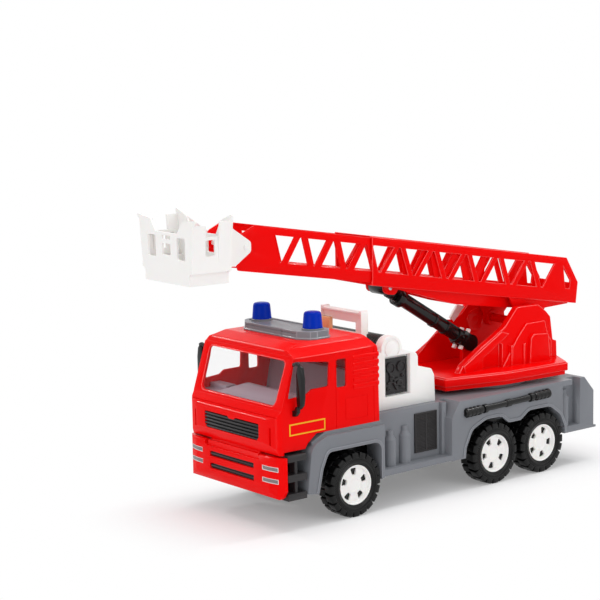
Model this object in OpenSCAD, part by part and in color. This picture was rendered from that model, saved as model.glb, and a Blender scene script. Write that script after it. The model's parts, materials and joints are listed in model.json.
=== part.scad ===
// Toy fire engine with a swivelling, telescopic ladder and a basket.
// +X forward, +Y the vehicle's left, +Z up. Millimetres.

/* [Running gear] */
// Tyre radius over the lugs
tyre_r = 36; // [34:0.5:38]
// Outer face of the tyres from the centre plane
tyre_face = 86; // [84:0.5:88]
// Tyre width
tyre_w = 24; // [20:1:26]
// Radius where the tyre sits on its rim
rim_r = 22.3; // [20:0.1:24]
// Tread lugs round a tyre
lug_count = 20; // [16:1:24]
// Depth of the tread lugs
lug_depth = 2.4; // [1:0.1:4]
// Flat width of one lug
lug_w = 7.6; // [7:0.1:8.5]
// Axle rod radius
axle_r = 3; // [2:0.1:4]
// Running clearance of axles and pins on the radius
run_gap = 0.08; // [0.02:0.01:0.1]
// Middle axle behind the front axle
mid_axle = -214; // [-220:1:-208]
// Rear axle behind the front axle
rear_axle = -292.7; // [-300:0.1:-288]

/* [Chassis] */
// Half width over the side panels
side_y = 85; // [83:0.5:86]
// Inner face of the side panels
side_in = 60; // [58:0.5:61]
// Top of the deck
deck_z = 106; // [104:0.5:108]
// Underside of the deck
deck_under = 101; // [99:0.5:102]
// Height of the fender tops under the cab
cab_seat_z = 101; // [99:0.5:103]
// Recessed side wall between the axles
wall_y = 70; // [68:0.5:72]
// Radius of the bottles that stand on the running board
bottle_r = 7; // [5:0.5:8]

/* [Cab] */
// Half width of the cab
cab_half = 79.7; // [78:0.1:81]
// Wall thickness of the cab
cab_wall = 2.5; // [2:0.1:3]
// Height of the roof
roof_z = 198.5; // [196:0.5:200]
// Half width of the grille
grille_half = 49; // [46:1:52]
// Slats in the grille
grille_slats = 5; // [4:1:8]
// Height of the bumper's top
bumper_top = 81.5; // [78:0.5:82]
// Height of the light bar's top
bar_top = 208; // [206:0.5:210]
// Beacon radius at its foot
beacon_r = 11.1; // [10:0.1:11.5]
// Beacon height
beacon_h = 18.2; // [16:0.2:20]

/* [Pump housing] */
// Half width of the housing
pump_half = 60; // [58:0.5:61]
// Radius of the arches over the hose reel
arch_r = 15.2; // [14:0.2:17]
// Top of the ladder rest
rest_z = 216.6; // [214:0.2:218]

/* [Turntable] */
// Swivel axis behind the front axle
swivel_x = -265; // [-270:1:-260]
// Turn of the superstructure away from straight ahead, in degrees
yaw = -2.7; // [-2.7:0.1:0]
// Underside of the turntable
table_z = 111; // [110:0.5:112]
// Top of the turntable
table_top = 127; // [125:0.5:129]
// Radius of the swivel hub
swivel_r = 16; // [12:1:20]
// Inner face of the tower cheeks
cheek_in = 37; // [36.5:0.5:38]
// Ladder pivot, forward of the swivel axis
lift_x = -55; // [-58:1:-52]
// Ladder pivot height
lift_z = 172; // [168:1:176]
// Ladder pivot pin radius
lift_r = 5; // [4:0.5:6]

/* [Ladder] */
// Pitch of the ladder at rest, in degrees
pitch = 9.5; // [9:0.1:10]
// Half width of the base ladder
base_half = 35; // [34:0.5:36]
// Half width of the fly ladder
fly_half = 31.9; // [31:0.1:32]
// Thickness of a fly rail
rail_t = 2.2; // [1.8:0.1:2.6]
// Length of one zigzag in the base ladder
base_step = 51.1; // [50:0.1:52]
// Length of one zigzag in the fly ladder
fly_step = 46; // [45:0.1:47]
// Horizontal width of the zigzag bars
bar_w = 9; // [7:0.5:12]
// Gap between fly and base ladders
slide_gap = 0.3; // [0.2:0.05:0.5]
// Basket pivot pin radius
tip_r = 3; // [2.5:0.5:4]

/* [Basket] */
// Half width of the basket tray
tray_half = 44; // [42:1:46]
// Floor height of the basket
tray_floor = 266; // [264:0.5:268]
// Wall thickness of the basket
tray_t = 2.4; // [2:0.1:3]

/* [Lift cylinder] */
// Radius of the cylinder barrel
barrel_r = 7.5; // [7:0.5:8]
// Radius of the cylinder rod
rod_r = 4.5; // [4:0.5:5]
// Radius of the cylinder pins
ram_pin_r = 2.5; // [2:0.5:3]

/* [Hidden] */
$fn = 48;
front_x = 116.8;
red = [0.86, 0.05, 0.04];
grey = [0.46, 0.48, 0.51];
black = [0.05, 0.05, 0.055];
white = [0.93, 0.92, 0.89];
blue = [0.02, 0.10, 0.60];
dark = [0.16, 0.16, 0.17];
chrome = [0.80, 0.80, 0.82];
steel = [0.70, 0.70, 0.72];
yellow = [0.92, 0.68, 0.08];
clear = [0.85, 0.92, 0.95, 0.35];
interior = [0.42, 0.42, 0.47];
tiny = 0.01;

function unit(v) = v / norm(v);
// A polygon's corners, each [x, y, radius], with the radius drawn as short chords.
function arc(a, b, c, n) =
  let (u = unit([a[0] - b[0], a[1] - b[1]]), v = unit([c[0] - b[0], c[1] - b[1]]))
  let (h = acos(u * v) / 2, d = b[2] / tan(h), m = unit(u + v) * b[2] / sin(h))
  let (o = [b[0], b[1]] + m, s = u * d - m, e = v * d - m)
  [for (i = [0:n]) o + b[2] * unit(s * (n - i) / n + e * i / n)];
function rounded(p, n = 4) = [
  for (i = [0:len(p) - 1])
    each (p[i][2] == undef || p[i][2] == 0)
      ? [[p[i][0], p[i][1]]]
      : arc(p[(i + len(p) - 1) % len(p)], p[i], p[(i + 1) % len(p)], n)
];

module along_y(y0, y1) translate([0, y1, 0]) rotate([90, 0, 0]) linear_extrude(y1 - y0) children();
module along_x(x0, x1) translate([x0, 0, 0]) rotate([90, 0, 90]) linear_extrude(x1 - x0) children();
module along_z(z0, z1) translate([0, 0, z0]) linear_extrude(z1 - z0) children();
module both() {
  children();
  mirror([0, 1, 0]) children();
}
module block(x0, x1, y0, y1, z0, z1) translate([x0, y0, z0]) cube([x1 - x0, y1 - y0, z1 - z0]);
module rod_y(x, z, r, y0, y1) translate([x, y1, z]) rotate([90, 0, 0]) cylinder(r = r, h = y1 - y0);
module truck() translate([front_x, 0, 0]) children();
module turret() truck() translate([swivel_x, 0, 0]) rotate([0, 0, yaw]) children();
boom_z = 250;
module boom() turret() translate([0, 0, boom_z]) rotate([0, -pitch, 0]) children();
function boom_u(x, z) = x * cos(pitch) + (z - boom_z) * sin(pitch);
function boom_v(x, z) = -x * sin(pitch) + (z - boom_z) * cos(pitch);

// ---------- wheels and axles ----------
hub_face = 84.9;
hub_back = 63;
hub_disc_in = 76;
hub_disc_out = 81.5;
hub_boss_r = 9.5;
hub_holes = 5;
axle_end = 79;
// Turn of the hubs at rest, in degrees
hub_turn = [90, 64, 113];
// Each row: near and far distance from the outer face, turn in lugs, drop below the full radius
lug_rows = [[0.5, 11.3, 0, 0], [12.7, 23.5, 0.5, 0.3]];

module tyre(x, flip) truck() translate([x, 0, tyre_r]) mirror([0, flip, 0])
  difference() {
    union() {
      rod_y(0, 0, tyre_r - lug_depth, tyre_face - tyre_w + 1, tyre_face - 1);
      rod_y(0, 0, tyre_r - lug_depth - 2.5, tyre_face - tyre_w, tyre_face);
      for (row = lug_rows)
        along_y(tyre_face - row[1], tyre_face - row[0])
          for (i = [0:lug_count - 1])
            rotate(90 + (i + row[2]) * 360 / lug_count)
              translate([tyre_r - lug_depth - 3, -lug_w / 2])
                square([lug_depth + 3 - row[3], lug_w]);
    }
    rod_y(0, 0, rim_r, tyre_face - tyre_w - 1, tyre_face + 1);
  }

module hub(x, flip, turn) truck() translate([x, 0, tyre_r]) mirror([0, flip, 0])
  difference() {
    rod_y(0, 0, rim_r, hub_back, hub_face);
    difference() {
      rod_y(0, 0, rim_r - 2.2, hub_disc_out, hub_face + 1);
      rod_y(0, 0, hub_boss_r, hub_disc_out - 1, hub_disc_out + 2);
    }
    difference() {
      rod_y(0, 0, rim_r - 2.2, hub_back - 1, hub_disc_in);
      rod_y(0, 0, axle_r + 3, hub_back - 2, hub_disc_in + 1);
    }
    for (i = [0:hub_holes - 1])
      along_y(hub_disc_in - 1, hub_disc_out + 1)
        rotate(turn + i * 360 / hub_holes)
          polygon([[10.8, -2.5], [10.8, 2.5], [18.4, 4.3], [18.4, -4.3]]);
    rod_y(0, 0, axle_r, hub_back - 1, axle_end);
  }

module axle(x) color(steel) truck() rod_y(x, tyre_r, axle_r, -axle_end, axle_end);
module axle_front() axle(0);
module axle_mid() axle(mid_axle);
module axle_rear() axle(rear_axle);
module hub_front_left() color(white) hub(0, 0, hub_turn[0]);
module hub_front_right() color(white) hub(0, 1, hub_turn[0]);
module hub_mid_left() color(white) hub(mid_axle, 0, hub_turn[1]);
module hub_mid_right() color(white) hub(mid_axle, 1, hub_turn[1]);
module hub_rear_left() color(white) hub(rear_axle, 0, hub_turn[2]);
module hub_rear_right() color(white) hub(rear_axle, 1, hub_turn[2]);
module tyre_front_left() color(black) tyre(0, 0);
module tyre_front_right() color(black) tyre(0, 1);
module tyre_mid_left() color(black) tyre(mid_axle, 0);
module tyre_mid_right() color(black) tyre(mid_axle, 1);
module tyre_rear_left() color(black) tyre(rear_axle, 0);
module tyre_rear_right() color(black) tyre(rear_axle, 1);

// ---------- chassis ----------
tail_x = -383;
tail_low = 41.2;
tail_top = 87.5;
deck_end = -366.5;
deck_step = -47;
cab_rear = -39.6;
fender_front = 58;
sill_z = 45;
sill_low = 38;
body_front = -145;
tyre_clear = 2;
cross_half = tyre_face - tyre_w - tyre_clear;
plinth_r = 62;
plinth_top = 110.7;
retainer_r = 22;
frame_top = 92;
skin = 3;
bottle_z = 80;

module bottle(x, y, low, high) truck() {
  translate([x, y, low]) cylinder(r = bottle_r, h = high - low - 5);
  translate([x, y, high - 5]) cylinder(r1 = bottle_r, r2 = bottle_r * 0.55, h = 5);
  translate([x, y, high]) cylinder(r = bottle_r * 0.55, h = 5);
}
module front_arch() polygon(rounded([
  [-37.4, 20], [-37.4, 79, 9], [38, 79, 8], [46, 62, 6], [52, 35], [53, 20]
]));
module rear_arch() polygon(rounded([
  [-166, 20], [-167, 50, 12], [-177, 70, 14], [-199, 79, 20], [-224, 79, 14],
  [-236, 69.5, 8], [-256, 69.5, 8], [-270, 79, 14], [-306, 79, 20],
  [-324, 66, 16], [-331.5, 50, 12], [-331.5, 20]
]));
module fender() polygon(rounded([
  [-42.6, sill_low], [-42.6, 97], [40, 97, 12], [60.5, 88, 14], [67, 37.5], [50, 34.5], [-37.4, 36]
]));
module rear_body() polygon([
  [body_front, sill_low], [body_front, 87.6], [-157, deck_z], [deck_end, deck_z],
  [tail_x, tail_top], [tail_x, 43.8], [-387.3, 43.8], [-387.3, tail_low], [-331.5, tail_low],
  [-331.5, sill_low]
]);

module chassis_body() color(grey) {
  both() {
    truck() {
      difference() {
        union() {
          along_y(cross_half, side_y) fender();
          along_y(cross_half, side_y - 5)
            polygon([[-42.6, 90], [-42.6, cab_seat_z], [38, cab_seat_z], [57, 92], [57, 80], [30, 80]]);
        }
        along_y(cross_half - 1, side_y + 1) front_arch();
        block(-34, 34, cross_half + skin, side_y - skin - 3, 70, cab_seat_z - 5);
      }
      difference() {
        along_y(cross_half, side_y) rear_body();
        along_y(cross_half - 1, side_y + 1) rear_arch();
        block(-359, -328.6, side_y - 12, side_y + 1, 49, 99.5);
        block(-359, -345, side_y - 12, side_y + 1, 49, deck_z + 1);
        block(-312, -190, cross_half + skin, side_y - skin, 60, deck_z - 4);
        block(-162, body_front - 4, cross_half + skin, side_y - skin, 20, 84);
      }
      along_y(cross_half, wall_y) polygon([
        [body_front - 1, sill_low], [body_front - 1, deck_z], [-42.6, deck_z], [-42.6, sill_low]
      ]);
      along_y(cross_half, side_y) polygon([
        [-166, sill_low + 1], [-145.5, sill_z], [-41, sill_z], [-41, sill_low]
      ]);
      block(body_front - 1, body_front + 6, wall_y - 1, wall_y + 4, sill_z, deck_z);
    }
    bottle(-62, wall_y + 1, sill_z, bottle_z);
    bottle(-84, wall_y + 1, sill_z, bottle_z + 2);
    bottle(-336.5, side_y - 8, 49, 89);
  }
  truck() difference() {
    union() {
      block(deck_end, -42.6, -cross_half, cross_half, deck_under, deck_z);
      block(deck_step, fender_front, -cross_half, cross_half, frame_top, cab_seat_z);
      along_y(-cross_half, cross_half)
        polygon([
          [tail_x, tail_low], [tail_x, tail_top], [deck_end, deck_z], [deck_end, deck_under],
          [tail_x + skin, tail_top - 3], [tail_x + skin, tail_low]
        ]);
      block(fender_front, 64, -cross_half, cross_half, 40, cab_seat_z - 12);
      block(60, 94, -cross_half, 4 - cross_half, 44, 84);
      block(60, 94, cross_half - 4, cross_half, 44, 84);
      block(60, 94, -cross_half, cross_half, 80, 84);
      block(90, 94, -cross_half, cross_half, 44, 84);
      translate([swivel_x, 0, deck_z - 1]) cylinder(r = plinth_r, h = plinth_top - deck_z + 1);
    }
    translate([swivel_x, 0, deck_under - 1])
      cylinder(r = swivel_r + run_gap, h = plinth_top - deck_under + 2);
  }
}

boss_low = 27;
frame_half = cross_half - 3;
frame_pockets = [
  [-41, -10], [10, 55], [-97, -50], [-147, -100], [-203, -150], [-282, -225], [-338, -303.5], [-361, -341]
];
module underframe() color(black) truck() difference() {
  union() {
    block(deck_end + 1, deck_step, -frame_half, frame_half, 48, deck_under);
    block(deck_step, fender_front - 0.1, -frame_half, frame_half, 48, frame_top);
    for (x = [0, mid_axle, rear_axle]) block(x - 9, x + 9, -frame_half, frame_half, boss_low, 50);
  }
  both() for (p = frame_pockets)
    block(p[0], p[1], 1.5, frame_half - 3, 40, p[0] < deck_step ? deck_under - 4 : frame_top - 4);
  for (x = [0, mid_axle, rear_axle])
    rod_y(x, tyre_r, axle_r + run_gap, -frame_half - 1, frame_half + 1);
  for (x = [0, mid_axle, rear_axle])
    block(x - 10, x + 10, 20 - frame_half, frame_half - 20, 20, 44);
  translate([swivel_x, 0, 60]) cylinder(r = retainer_r + 4, h = 60);
}

louvre_rows = 15;
module louvre(flip) color(dark) mirror([0, flip, 0]) truck() difference() {
  along_y(wall_y, wall_y + 2) polygon([[-133.5, 52.5], [-133.5, 98], [-100, 98], [-100, 52.5]]);
  for (i = [0:louvre_rows - 1]) {
    z = 54.2 + i * 2.85;
    block(-131.5, -117.6, wall_y + 1, wall_y + 3, z, z + 1.3);
    block(-116, -102, wall_y + 1, wall_y + 3, z, z + 1.3);
  }
}
module louvre_left() louvre(0);
module louvre_right() louvre(1);

nozzle_r = 3.6;
nozzle_end_r = 5.6;
nozzle_len = 139.5;
grip_len = 26;
module nozzle(flip) color(black) mirror([0, flip, 0]) truck() difference() {
  translate([-163.8, side_y + 1.5, 91.5]) rotate([0, -90 + 1.7, 0]) {
    cylinder(r = nozzle_r, h = nozzle_len);
    for (end = [0, nozzle_len - grip_len]) translate([0, 0, end]) {
      cylinder(r = nozzle_end_r - 0.8, h = grip_len);
      for (i = [0:3]) translate([0, 0, 1.4 + i * 6.2]) cylinder(r = nozzle_end_r, h = 3.8);
    }
    for (end = [grip_len + 3, nozzle_len - grip_len - 8]) translate([0, 0, end])
      cylinder(r = nozzle_end_r - 0.4, h = 5);
    translate([0, 0, nozzle_len / 2 - 4]) cylinder(r = nozzle_r + 1, h = 8);
  }
  block(-330, -140, side_y - 20, side_y, 70, 110);
}
module nozzle_left() nozzle(0);
module nozzle_right() nozzle(1);

tread_tops = [83.6, 62, 41.5];
module steps(flip) color(dark) mirror([0, flip, 0]) truck() {
  for (z = tread_tops)
    along_y(cross_half, side_y - 0.5)
      polygon([[68, z - 7.5], [68, z], [93.5, z], [93.5, z - 7.5]]);
  block(68, 93.5, cross_half, cross_half + 4, tread_tops[2] - 7.5, tread_tops[0]);
  block(78, 82, cross_half, side_y - 4, tread_tops[2] - 2, tread_tops[0] - 1);
}
module steps_left() steps(0);
module steps_right() steps(1);

// ---------- cab ----------
screen_low = [96.5, 135];
screen_high = [81.1, 182];
screen_half = 66.5;
lean = (screen_low[0] - screen_high[0]) / (screen_high[1] - screen_low[1]);
function screen_x(z) = screen_low[0] - (z - screen_low[1]) * lean;
crease_z = roof_z - 12.5;
roof_half = 64;
cab_low = 86.5;
lip_x = 94.4;
lip_z = 83.5;
cab_front_inner = lip_x + 0.1;
cab_profile = [
  [cab_rear, cab_seat_z], [cab_rear + 1.4, crease_z - 3, 12], [-30, roof_z, 12], [62, roof_z, 4],
  [80.5, roof_z - 5.5, 2], [screen_x(crease_z + 1), crease_z + 1], [screen_low[0] + 1, 131.5, 2],
  [104.8, 122, 3], [104.8, 95, 2], [100, lip_z, 2], [lip_x, lip_z], [lip_x, cab_low], [66, cab_low],
  [62, 92, 4], [50, cab_seat_z, 3]
];
cab_front_section = [
  [cab_half, 80], [cab_half, crease_z, 2], [roof_half + 4, roof_z - 4, 3], [roof_half, roof_z + 1],
  [-roof_half, roof_z + 1], [-roof_half - 4, roof_z - 4, 3], [-cab_half, crease_z, 2], [-cab_half, 80]
];
cab_plan = [
  [-50, -cab_half], [97, -cab_half, 2.5], [102.6, -cab_half + 3, 3], [104.9, -62], [104.9, 62],
  [102.6, cab_half - 3, 3], [97, cab_half, 2.5], [-50, cab_half]
];
window_front = [
  [30.8, 176.5, 2], [32.3, 149.8, 2], [55.6, 149.6, 4], [62, 145.2, 4], [88.3, 142.9, 2],
  [78.8, 182.5, 2]
];
window_rear = [[7.2, 146.5, 2], [21, 146.5, 2], [21, 177.5, 2], [7.2, 177.5, 2]];
screen_shape = [
  [screen_half, screen_low[1], 6.5], [screen_half + 1.5, screen_high[1], 5],
  [-screen_half - 1.5, screen_high[1], 5], [-screen_half, screen_low[1], 6.5]
];
rib_count = 5;
rib_low = 141.8;
rib_pitch = 8;
rib_h = 4.5;
belt_z = 124.4;

module cab_outer() intersection() {
  along_y(-90, 90) polygon(rounded(cab_profile));
  along_x(-60, 120) polygon(rounded(cab_front_section));
  along_z(70, 210) polygon(rounded(cab_plan));
}
module cab_inner() {
  w = cab_wall;
  along_y(w - cab_half, cab_half - w) polygon([
    [cab_rear + w, 80], [cab_rear + w + 1, crease_z - 4], [screen_x(crease_z - 4) - 3.2, crease_z - 4],
    [screen_x(131) - 3.2, 131], [cab_front_inner, 126], [cab_front_inner, 80]
  ]);
  along_y(4 - roof_half, roof_half - 4) polygon([
    [-30, crease_z - 6], [-26, roof_z - w - 0.5], [60, roof_z - w - 0.5], [73, crease_z - 6]
  ]);
}
module cab_shell() color(red) truck() {
  difference() {
    cab_outer();
    cab_inner();
    along_x(60, 120) polygon(rounded(screen_shape));
    along_y(-90, 90) polygon(rounded(window_front));
    along_y(-90, 90) polygon(rounded(window_rear));
    block(100.8, 110, -grille_half, grille_half, 96, 114.5);
    block(screen_low[0] + 5, 110, -90, 90, belt_z, belt_z + 1.2);
    both() {
      block(-32.4, -31.6, cab_half - 0.5, 90, 102.7, 178);
      block(101.8, 110, 66.4, 69, 94, 113);
      block(21.7, 22.4, cab_half - 0.5, 90, 102.7, 178);
      block(-22.5, 9, cab_half - 0.4, 90, 109, 109.7);
      block(-22.5, 9, cab_half - 0.4, 90, 132.8, 133.5);
      block(-22.5, -21.8, cab_half - 0.4, 90, 109, 133.5);
      block(8.3, 9, cab_half - 0.4, 90, 109, 133.5);
    }
  }
  both() {
    for (i = [0:rib_count - 1])
      block(cab_rear + 2.5, -2, cab_half - 0.3, cab_half + 0.8, rib_low + i * rib_pitch,
        rib_low + i * rib_pitch + rib_h);
    block(27, 35, cab_half - 0.3, cab_half + 1.2, 121, 124);
  }
}

pane_t = 1.2;
module cab_glazing() color(clear) truck() {
  intersection() {
    along_x(60, 120) polygon(rounded(screen_shape));
    along_y(-floor_half, floor_half) polygon([
      [screen_x(130) - 1.8, 130], [screen_x(190) - 1.8, 190],
      [screen_x(190) - 1.8 + pane_t, 190], [screen_x(130) - 1.8 + pane_t, 130]
    ]);
  }
  both() along_y(cab_half - 2.1, cab_half - 2.1 + pane_t) {
    polygon(rounded(window_front));
    polygon(rounded(window_rear));
  }
}

floor_half = cab_half - cab_wall;
seat_top = 158;
dash_z = 134;
binnacle_z = 145.5;
binnacle_y = [-48, -15];
wheel_at = [58, 40, 126];
wheel_r = 14;
tub_wall = 3;
module cab_tub() difference() {
  union() {
    block(-36, lip_x, -floor_half, floor_half, cab_seat_z, cab_seat_z + 3);
    along_y(-floor_half, floor_half)
      polygon([
        [80, cab_seat_z + 3], [70, 126], [68, dash_z], [91, dash_z - 2.5], [lip_x, 126],
        [lip_x, cab_seat_z + 3]
      ]);
    intersection() {
      along_y(-floor_half, floor_half)
        polygon([[70, 125], [65, binnacle_z - 1], [72, binnacle_z + 1], [90, dash_z], [90, 128]]);
      along_x(60, 95) polygon([
        [binnacle_y[0], dash_z - 8], [binnacle_y[0], dash_z - 0.5], [binnacle_y[1], binnacle_z],
        [floor_half, binnacle_z], [floor_half, dash_z - 8]
      ]);
  }
  block(64, 77, 1.5 - floor_half, binnacle_y[0] + 3, dash_z - 4, dash_z + 4.5);
  block(-36, -14, -floor_half, floor_half, cab_seat_z + 2, 124);
  block(-15, 14, 12 - floor_half, floor_half - 12, cab_seat_z + 2, 121);
  along_y(-floor_half, floor_half)
    polygon([[-15, 119], [-18, 124], [-19, seat_top], [-11, seat_top], [-3, 119]]);
  }
  along_y(tub_wall - floor_half, floor_half - tub_wall) polygon([
    [84, cab_seat_z - 1], [84, cab_seat_z + 3], [73.5, 125], [72, dash_z - 3], [88, dash_z - 5.5],
    [lip_x - 3, 124], [lip_x - 3, cab_seat_z - 1]
  ]);
  block(-33, 11, 12 + tub_wall - floor_half, floor_half - 12 - tub_wall, cab_seat_z - 1, 118);
}
module cab_interior() color(interior) truck() {
  cab_tub();
  translate(wheel_at) rotate([0, -62, 0]) {
    difference() {
      cylinder(r = wheel_r, h = 2.6, center = true);
      cylinder(r = wheel_r - 2.6, h = 4, center = true);
    }
    cube([3, 2 * wheel_r - 2, 2], center = true);
    translate([0, 0, -21]) cylinder(r = 2.2, h = 22);
  }
}

module grille() color(dark) truck() {
  block(100.8, 102, -grille_half, grille_half, 96, 114.5);
  pitch_z = 18.5 / grille_slats;
  for (i = [0:grille_slats - 1])
    along_y(-grille_half, grille_half) polygon([
      [102, 96.3 + i * pitch_z], [104.6, 96.7 + i * pitch_z],
      [104.6, 98.2 + i * pitch_z], [102, 98.6 + i * pitch_z]
    ]);
}

bumper_plan = [
  [94, -side_y - 0.5, 1], [98.5, -side_y + 1.5, 3], [103, -77, 6], [105.3, -66, 6], [106.2, 0],
  [105.3, 66, 6], [103, 77, 6], [98.5, side_y - 1.5, 3], [94, side_y + 0.5, 1]
];
slot_half = 40;
slots = [[64.3, 70.5], [50.5, 57]];
lamps = [[66, 71.5], [53, 58.5]];
lamp_y = [54, 78.5];
lamp_back = 100.5;
module bumper() color(red) truck() difference() {
  union() {
    intersection() {
      along_z(36.6, bumper_top) polygon(rounded(bumper_plan));
      along_y(-90, 90) polygon(rounded([
        [90, 40], [97, 36.6], [102, 36.6], [107, 47], [107, bumper_top - 3, 2],
        [103.5, bumper_top, 2], [90, bumper_top]
      ]));
      along_x(90, 110) polygon([
        [-side_y - 1, 48], [6 - side_y, 36], [side_y - 6, 36], [side_y + 1, 48],
        [side_y + 1, bumper_top + 1], [-side_y - 1, bumper_top + 1]
      ]);
    }
    block(94, 100, -44, 44, 70, lip_z - 0.1);
  }
  block(103.4, 110, -46, 46, 75.5, 90);
  both() {
    block(93, 110, 46, 49, 76.5, 90);
    for (l = lamps) block(lamp_back, 110, lamp_y[0], lamp_y[1], l[0], l[1]);
  }
  for (s = slots) block(102, 110, -slot_half, slot_half, s[0], s[1]);
}
module bumper_slats() color(dark) truck()
  for (s = slots) {
    block(102, 103.4, -slot_half, slot_half, s[0], s[1]);
    block(103.3, 105, -slot_half, slot_half, (s[0] + s[1]) / 2 - 1, (s[0] + s[1]) / 2 + 1);
  }
module headlamps() color(chrome) truck() both()
  for (l = lamps) along_z(l[0], l[1]) polygon([
    [lamp_back, lamp_y[0]], [104.6, lamp_y[0]], [104.3, 66], [102, 77], [101.6, lamp_y[1]],
    [lamp_back, lamp_y[1]]
  ]);

bar_x = [9, 48.3];
bar_half = 62;
bar_side = [17, 32];
bar_flat = 46.5;
bar_rear_flat = 54;
ring_r = beacon_r + 1.2;
ring_h = 1;
beacon_x = 25;
beacon_y = 45.3;
beacon_top_r = beacon_r - 1.5;
module bar_plan(inset) polygon(rounded([
  [bar_x[0] + inset, -bar_rear_flat, 3], [bar_side[0], -bar_half + inset, 3],
  [bar_side[1], -bar_half + inset, 4], [bar_x[1] - 9, -bar_half + 3 + inset, 4],
  [bar_x[1] - inset, -bar_flat, 4], [bar_x[1] - inset, bar_flat, 4],
  [bar_x[1] - 9, bar_half - 3 - inset, 4], [bar_side[1], bar_half - inset, 4],
  [bar_side[0], bar_half - inset, 3], [bar_x[0] + inset, bar_rear_flat, 3]
]));
module light_bar() color(grey) truck() difference() {
  union() {
    along_z(roof_z, bar_top - 2) bar_plan(0);
    along_z(bar_top - 2.1, bar_top) bar_plan(1.5);
    both() translate([beacon_x, beacon_y, bar_top - 1]) cylinder(r = ring_r, h = ring_h + 1);
  }
  block(bar_x[1] - 0.8, bar_x[1] + 1, 2 - bar_flat, bar_flat - 2, bar_top - 5, bar_top - 4);
}
module beacon(y) color(blue) truck() translate([beacon_x, y, bar_top + ring_h]) rotate_extrude()
  polygon(rounded([
    [0, 0], [beacon_r, 0], [beacon_r, 1.5, 0.4], [beacon_top_r, beacon_h, 3], [0, beacon_h]
  ]));
module beacon_left() beacon(beacon_y);
module beacon_right() beacon(-beacon_y);

mirror_w = 11;
mirror_in = cab_half + 4.3;
mirror_out = mirror_in + mirror_w;
module mirror_part(flip) color(black) mirror([0, flip, 0]) truck() {
  along_x(76, 81) polygon(rounded([
    [mirror_in - 0.5, 134, 2], [mirror_in + 4, 131.5, 2], [mirror_out, 139, 4], [mirror_out, 172, 5],
    [mirror_out - 4, 180, 3], [mirror_in, 176, 3]
  ]));
  along_x(78, 82) polygon(rounded([
    [cab_half, 178], [cab_half, 182], [mirror_in + 3, 183.5, 2], [mirror_out - 4, 177, 1],
    [mirror_in + 3, 174], [mirror_in, 178, 1]
  ]));
  along_x(78, 84) polygon(rounded([
    [cab_half, 124], [cab_half, 130.5], [mirror_in, 131], [mirror_in, 136], [mirror_in + 6, 137],
    [mirror_in + 4, 128, 2], [mirror_in, 124, 2]
  ]));
}
module mirror_left() mirror_part(0);
module mirror_right() mirror_part(1);

plate_x = [38, 87.3];
plate_z = [103.2, 116];
module side_plate(flip) color(yellow) mirror([0, flip, 0]) truck() difference() {
  block(plate_x[0], plate_x[1], cab_half, cab_half + 0.6, plate_z[0], plate_z[1]);
  block(plate_x[0] + 1.5, plate_x[1] - 1.5, cab_half + 0.3, cab_half + 2, plate_z[0] + 1.5, plate_z[1] - 1.5);
}
module plate_left() side_plate(0);
module plate_right() side_plate(1);

// ---------- pump housing ----------
arch_x = -76;
arch_z = 174;
arch_in = pump_half - 10.5;
pump_front = -41;
pump_profile = [
  [pump_front, deck_z], [pump_front, 166], [-52, 172], [-93, 171.5, 4], [-113, 165.3, 3],
  [-115.5, 161, 2], [-115.7, 149.8, 2], [-136.2, 144.1, 4], [-140.5, 136.4, 6], [-142, deck_z]
];
recess = [[-104, -66], [120, 166]];
recess_depth = 7;
reel_r = arch_r - 0.6;
module pump_housing() color(white) truck() difference() {
  union() {
    along_y(-pump_half, pump_half) polygon(rounded(pump_profile));
    both() rod_y(arch_x, arch_z, arch_r, arch_in, pump_half);
  }
  along_y(-arch_in, arch_in) polygon([[-40, 166], [-40, 200], [-92, 200], [-92, 176], [-88, 166]]);
  rod_y(arch_x, arch_z, reel_r, -arch_in, arch_in);
  both() {
    block(recess[0][0], recess[0][1], pump_half - recess_depth, 90, recess[1][0], recess[1][1]);
    difference() {
      rod_y(arch_x, arch_z, arch_r - 3, pump_half - 1, pump_half + 1);
      rod_y(arch_x, arch_z, arch_r - 6, pump_half - 2, pump_half + 2);
      block(-110, -40, 0, 90, 120, 166.5);
    }
  }
  along_y(recess_depth + 4 - pump_half, pump_half - recess_depth - 4)
    polygon([[-137.5, 100], [-136.5, 136], [-133, 140.5], [-112, 146], [-112, 151], [-46, 151], [-46, 100]]);
}
module hose_reel() color(black) truck() difference() {
  rod_y(arch_x, arch_z, reel_r, -arch_in, arch_in);
  for (y = [-44:4:44]) difference() {
    rod_y(arch_x, arch_z, reel_r + 1, y, y + 1.4);
    rod_y(arch_x, arch_z, reel_r - 1.2, y - 1, y + 3);
    block(-100, -50, -90, 90, 140, arch_z);
  }
}
panel_x = [-102, -67];
panel_z = [121.5, 162.5];
gauge_r = 6;
module panel(flip) color(dark) mirror([0, flip, 0]) truck() {
  y0 = pump_half - recess_depth;
  difference() {
    block(panel_x[0], panel_x[1], y0, y0 + 4, panel_z[0], panel_z[1]);
    for (x = [-92.5, -76.5]) rod_y(x, 152, gauge_r - 1, y0 + 3, y0 + 6);
  }
  for (x = [-92.5, -76.5]) {
    difference() {
      rod_y(x, 152, gauge_r, y0 + 3, y0 + 5.2);
      rod_y(x, 152, gauge_r - 1, y0 + 2, y0 + 7);
    }
    along_y(y0 + 2.9, y0 + 4.2) translate([x, 152]) rotate(x * 3) square([7, 1.2], center = true);
  }
  rod_y(-90, 134, 4.4, y0 + 3, y0 + 5.4);
  rod_y(-78, 138, 3.6, y0 + 3, y0 + 5.4);
  along_y(y0 + 3, y0 + 5) polygon([[-88, 126], [-72, 130], [-72, 133], [-88, 129]]);
  along_y(y0 + 3, y0 + 5) polygon([[-80, 127], [-76, 127], [-74, 143], [-78, 143]]);
}
module panel_left() panel(0);
module panel_right() panel(1);

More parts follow.
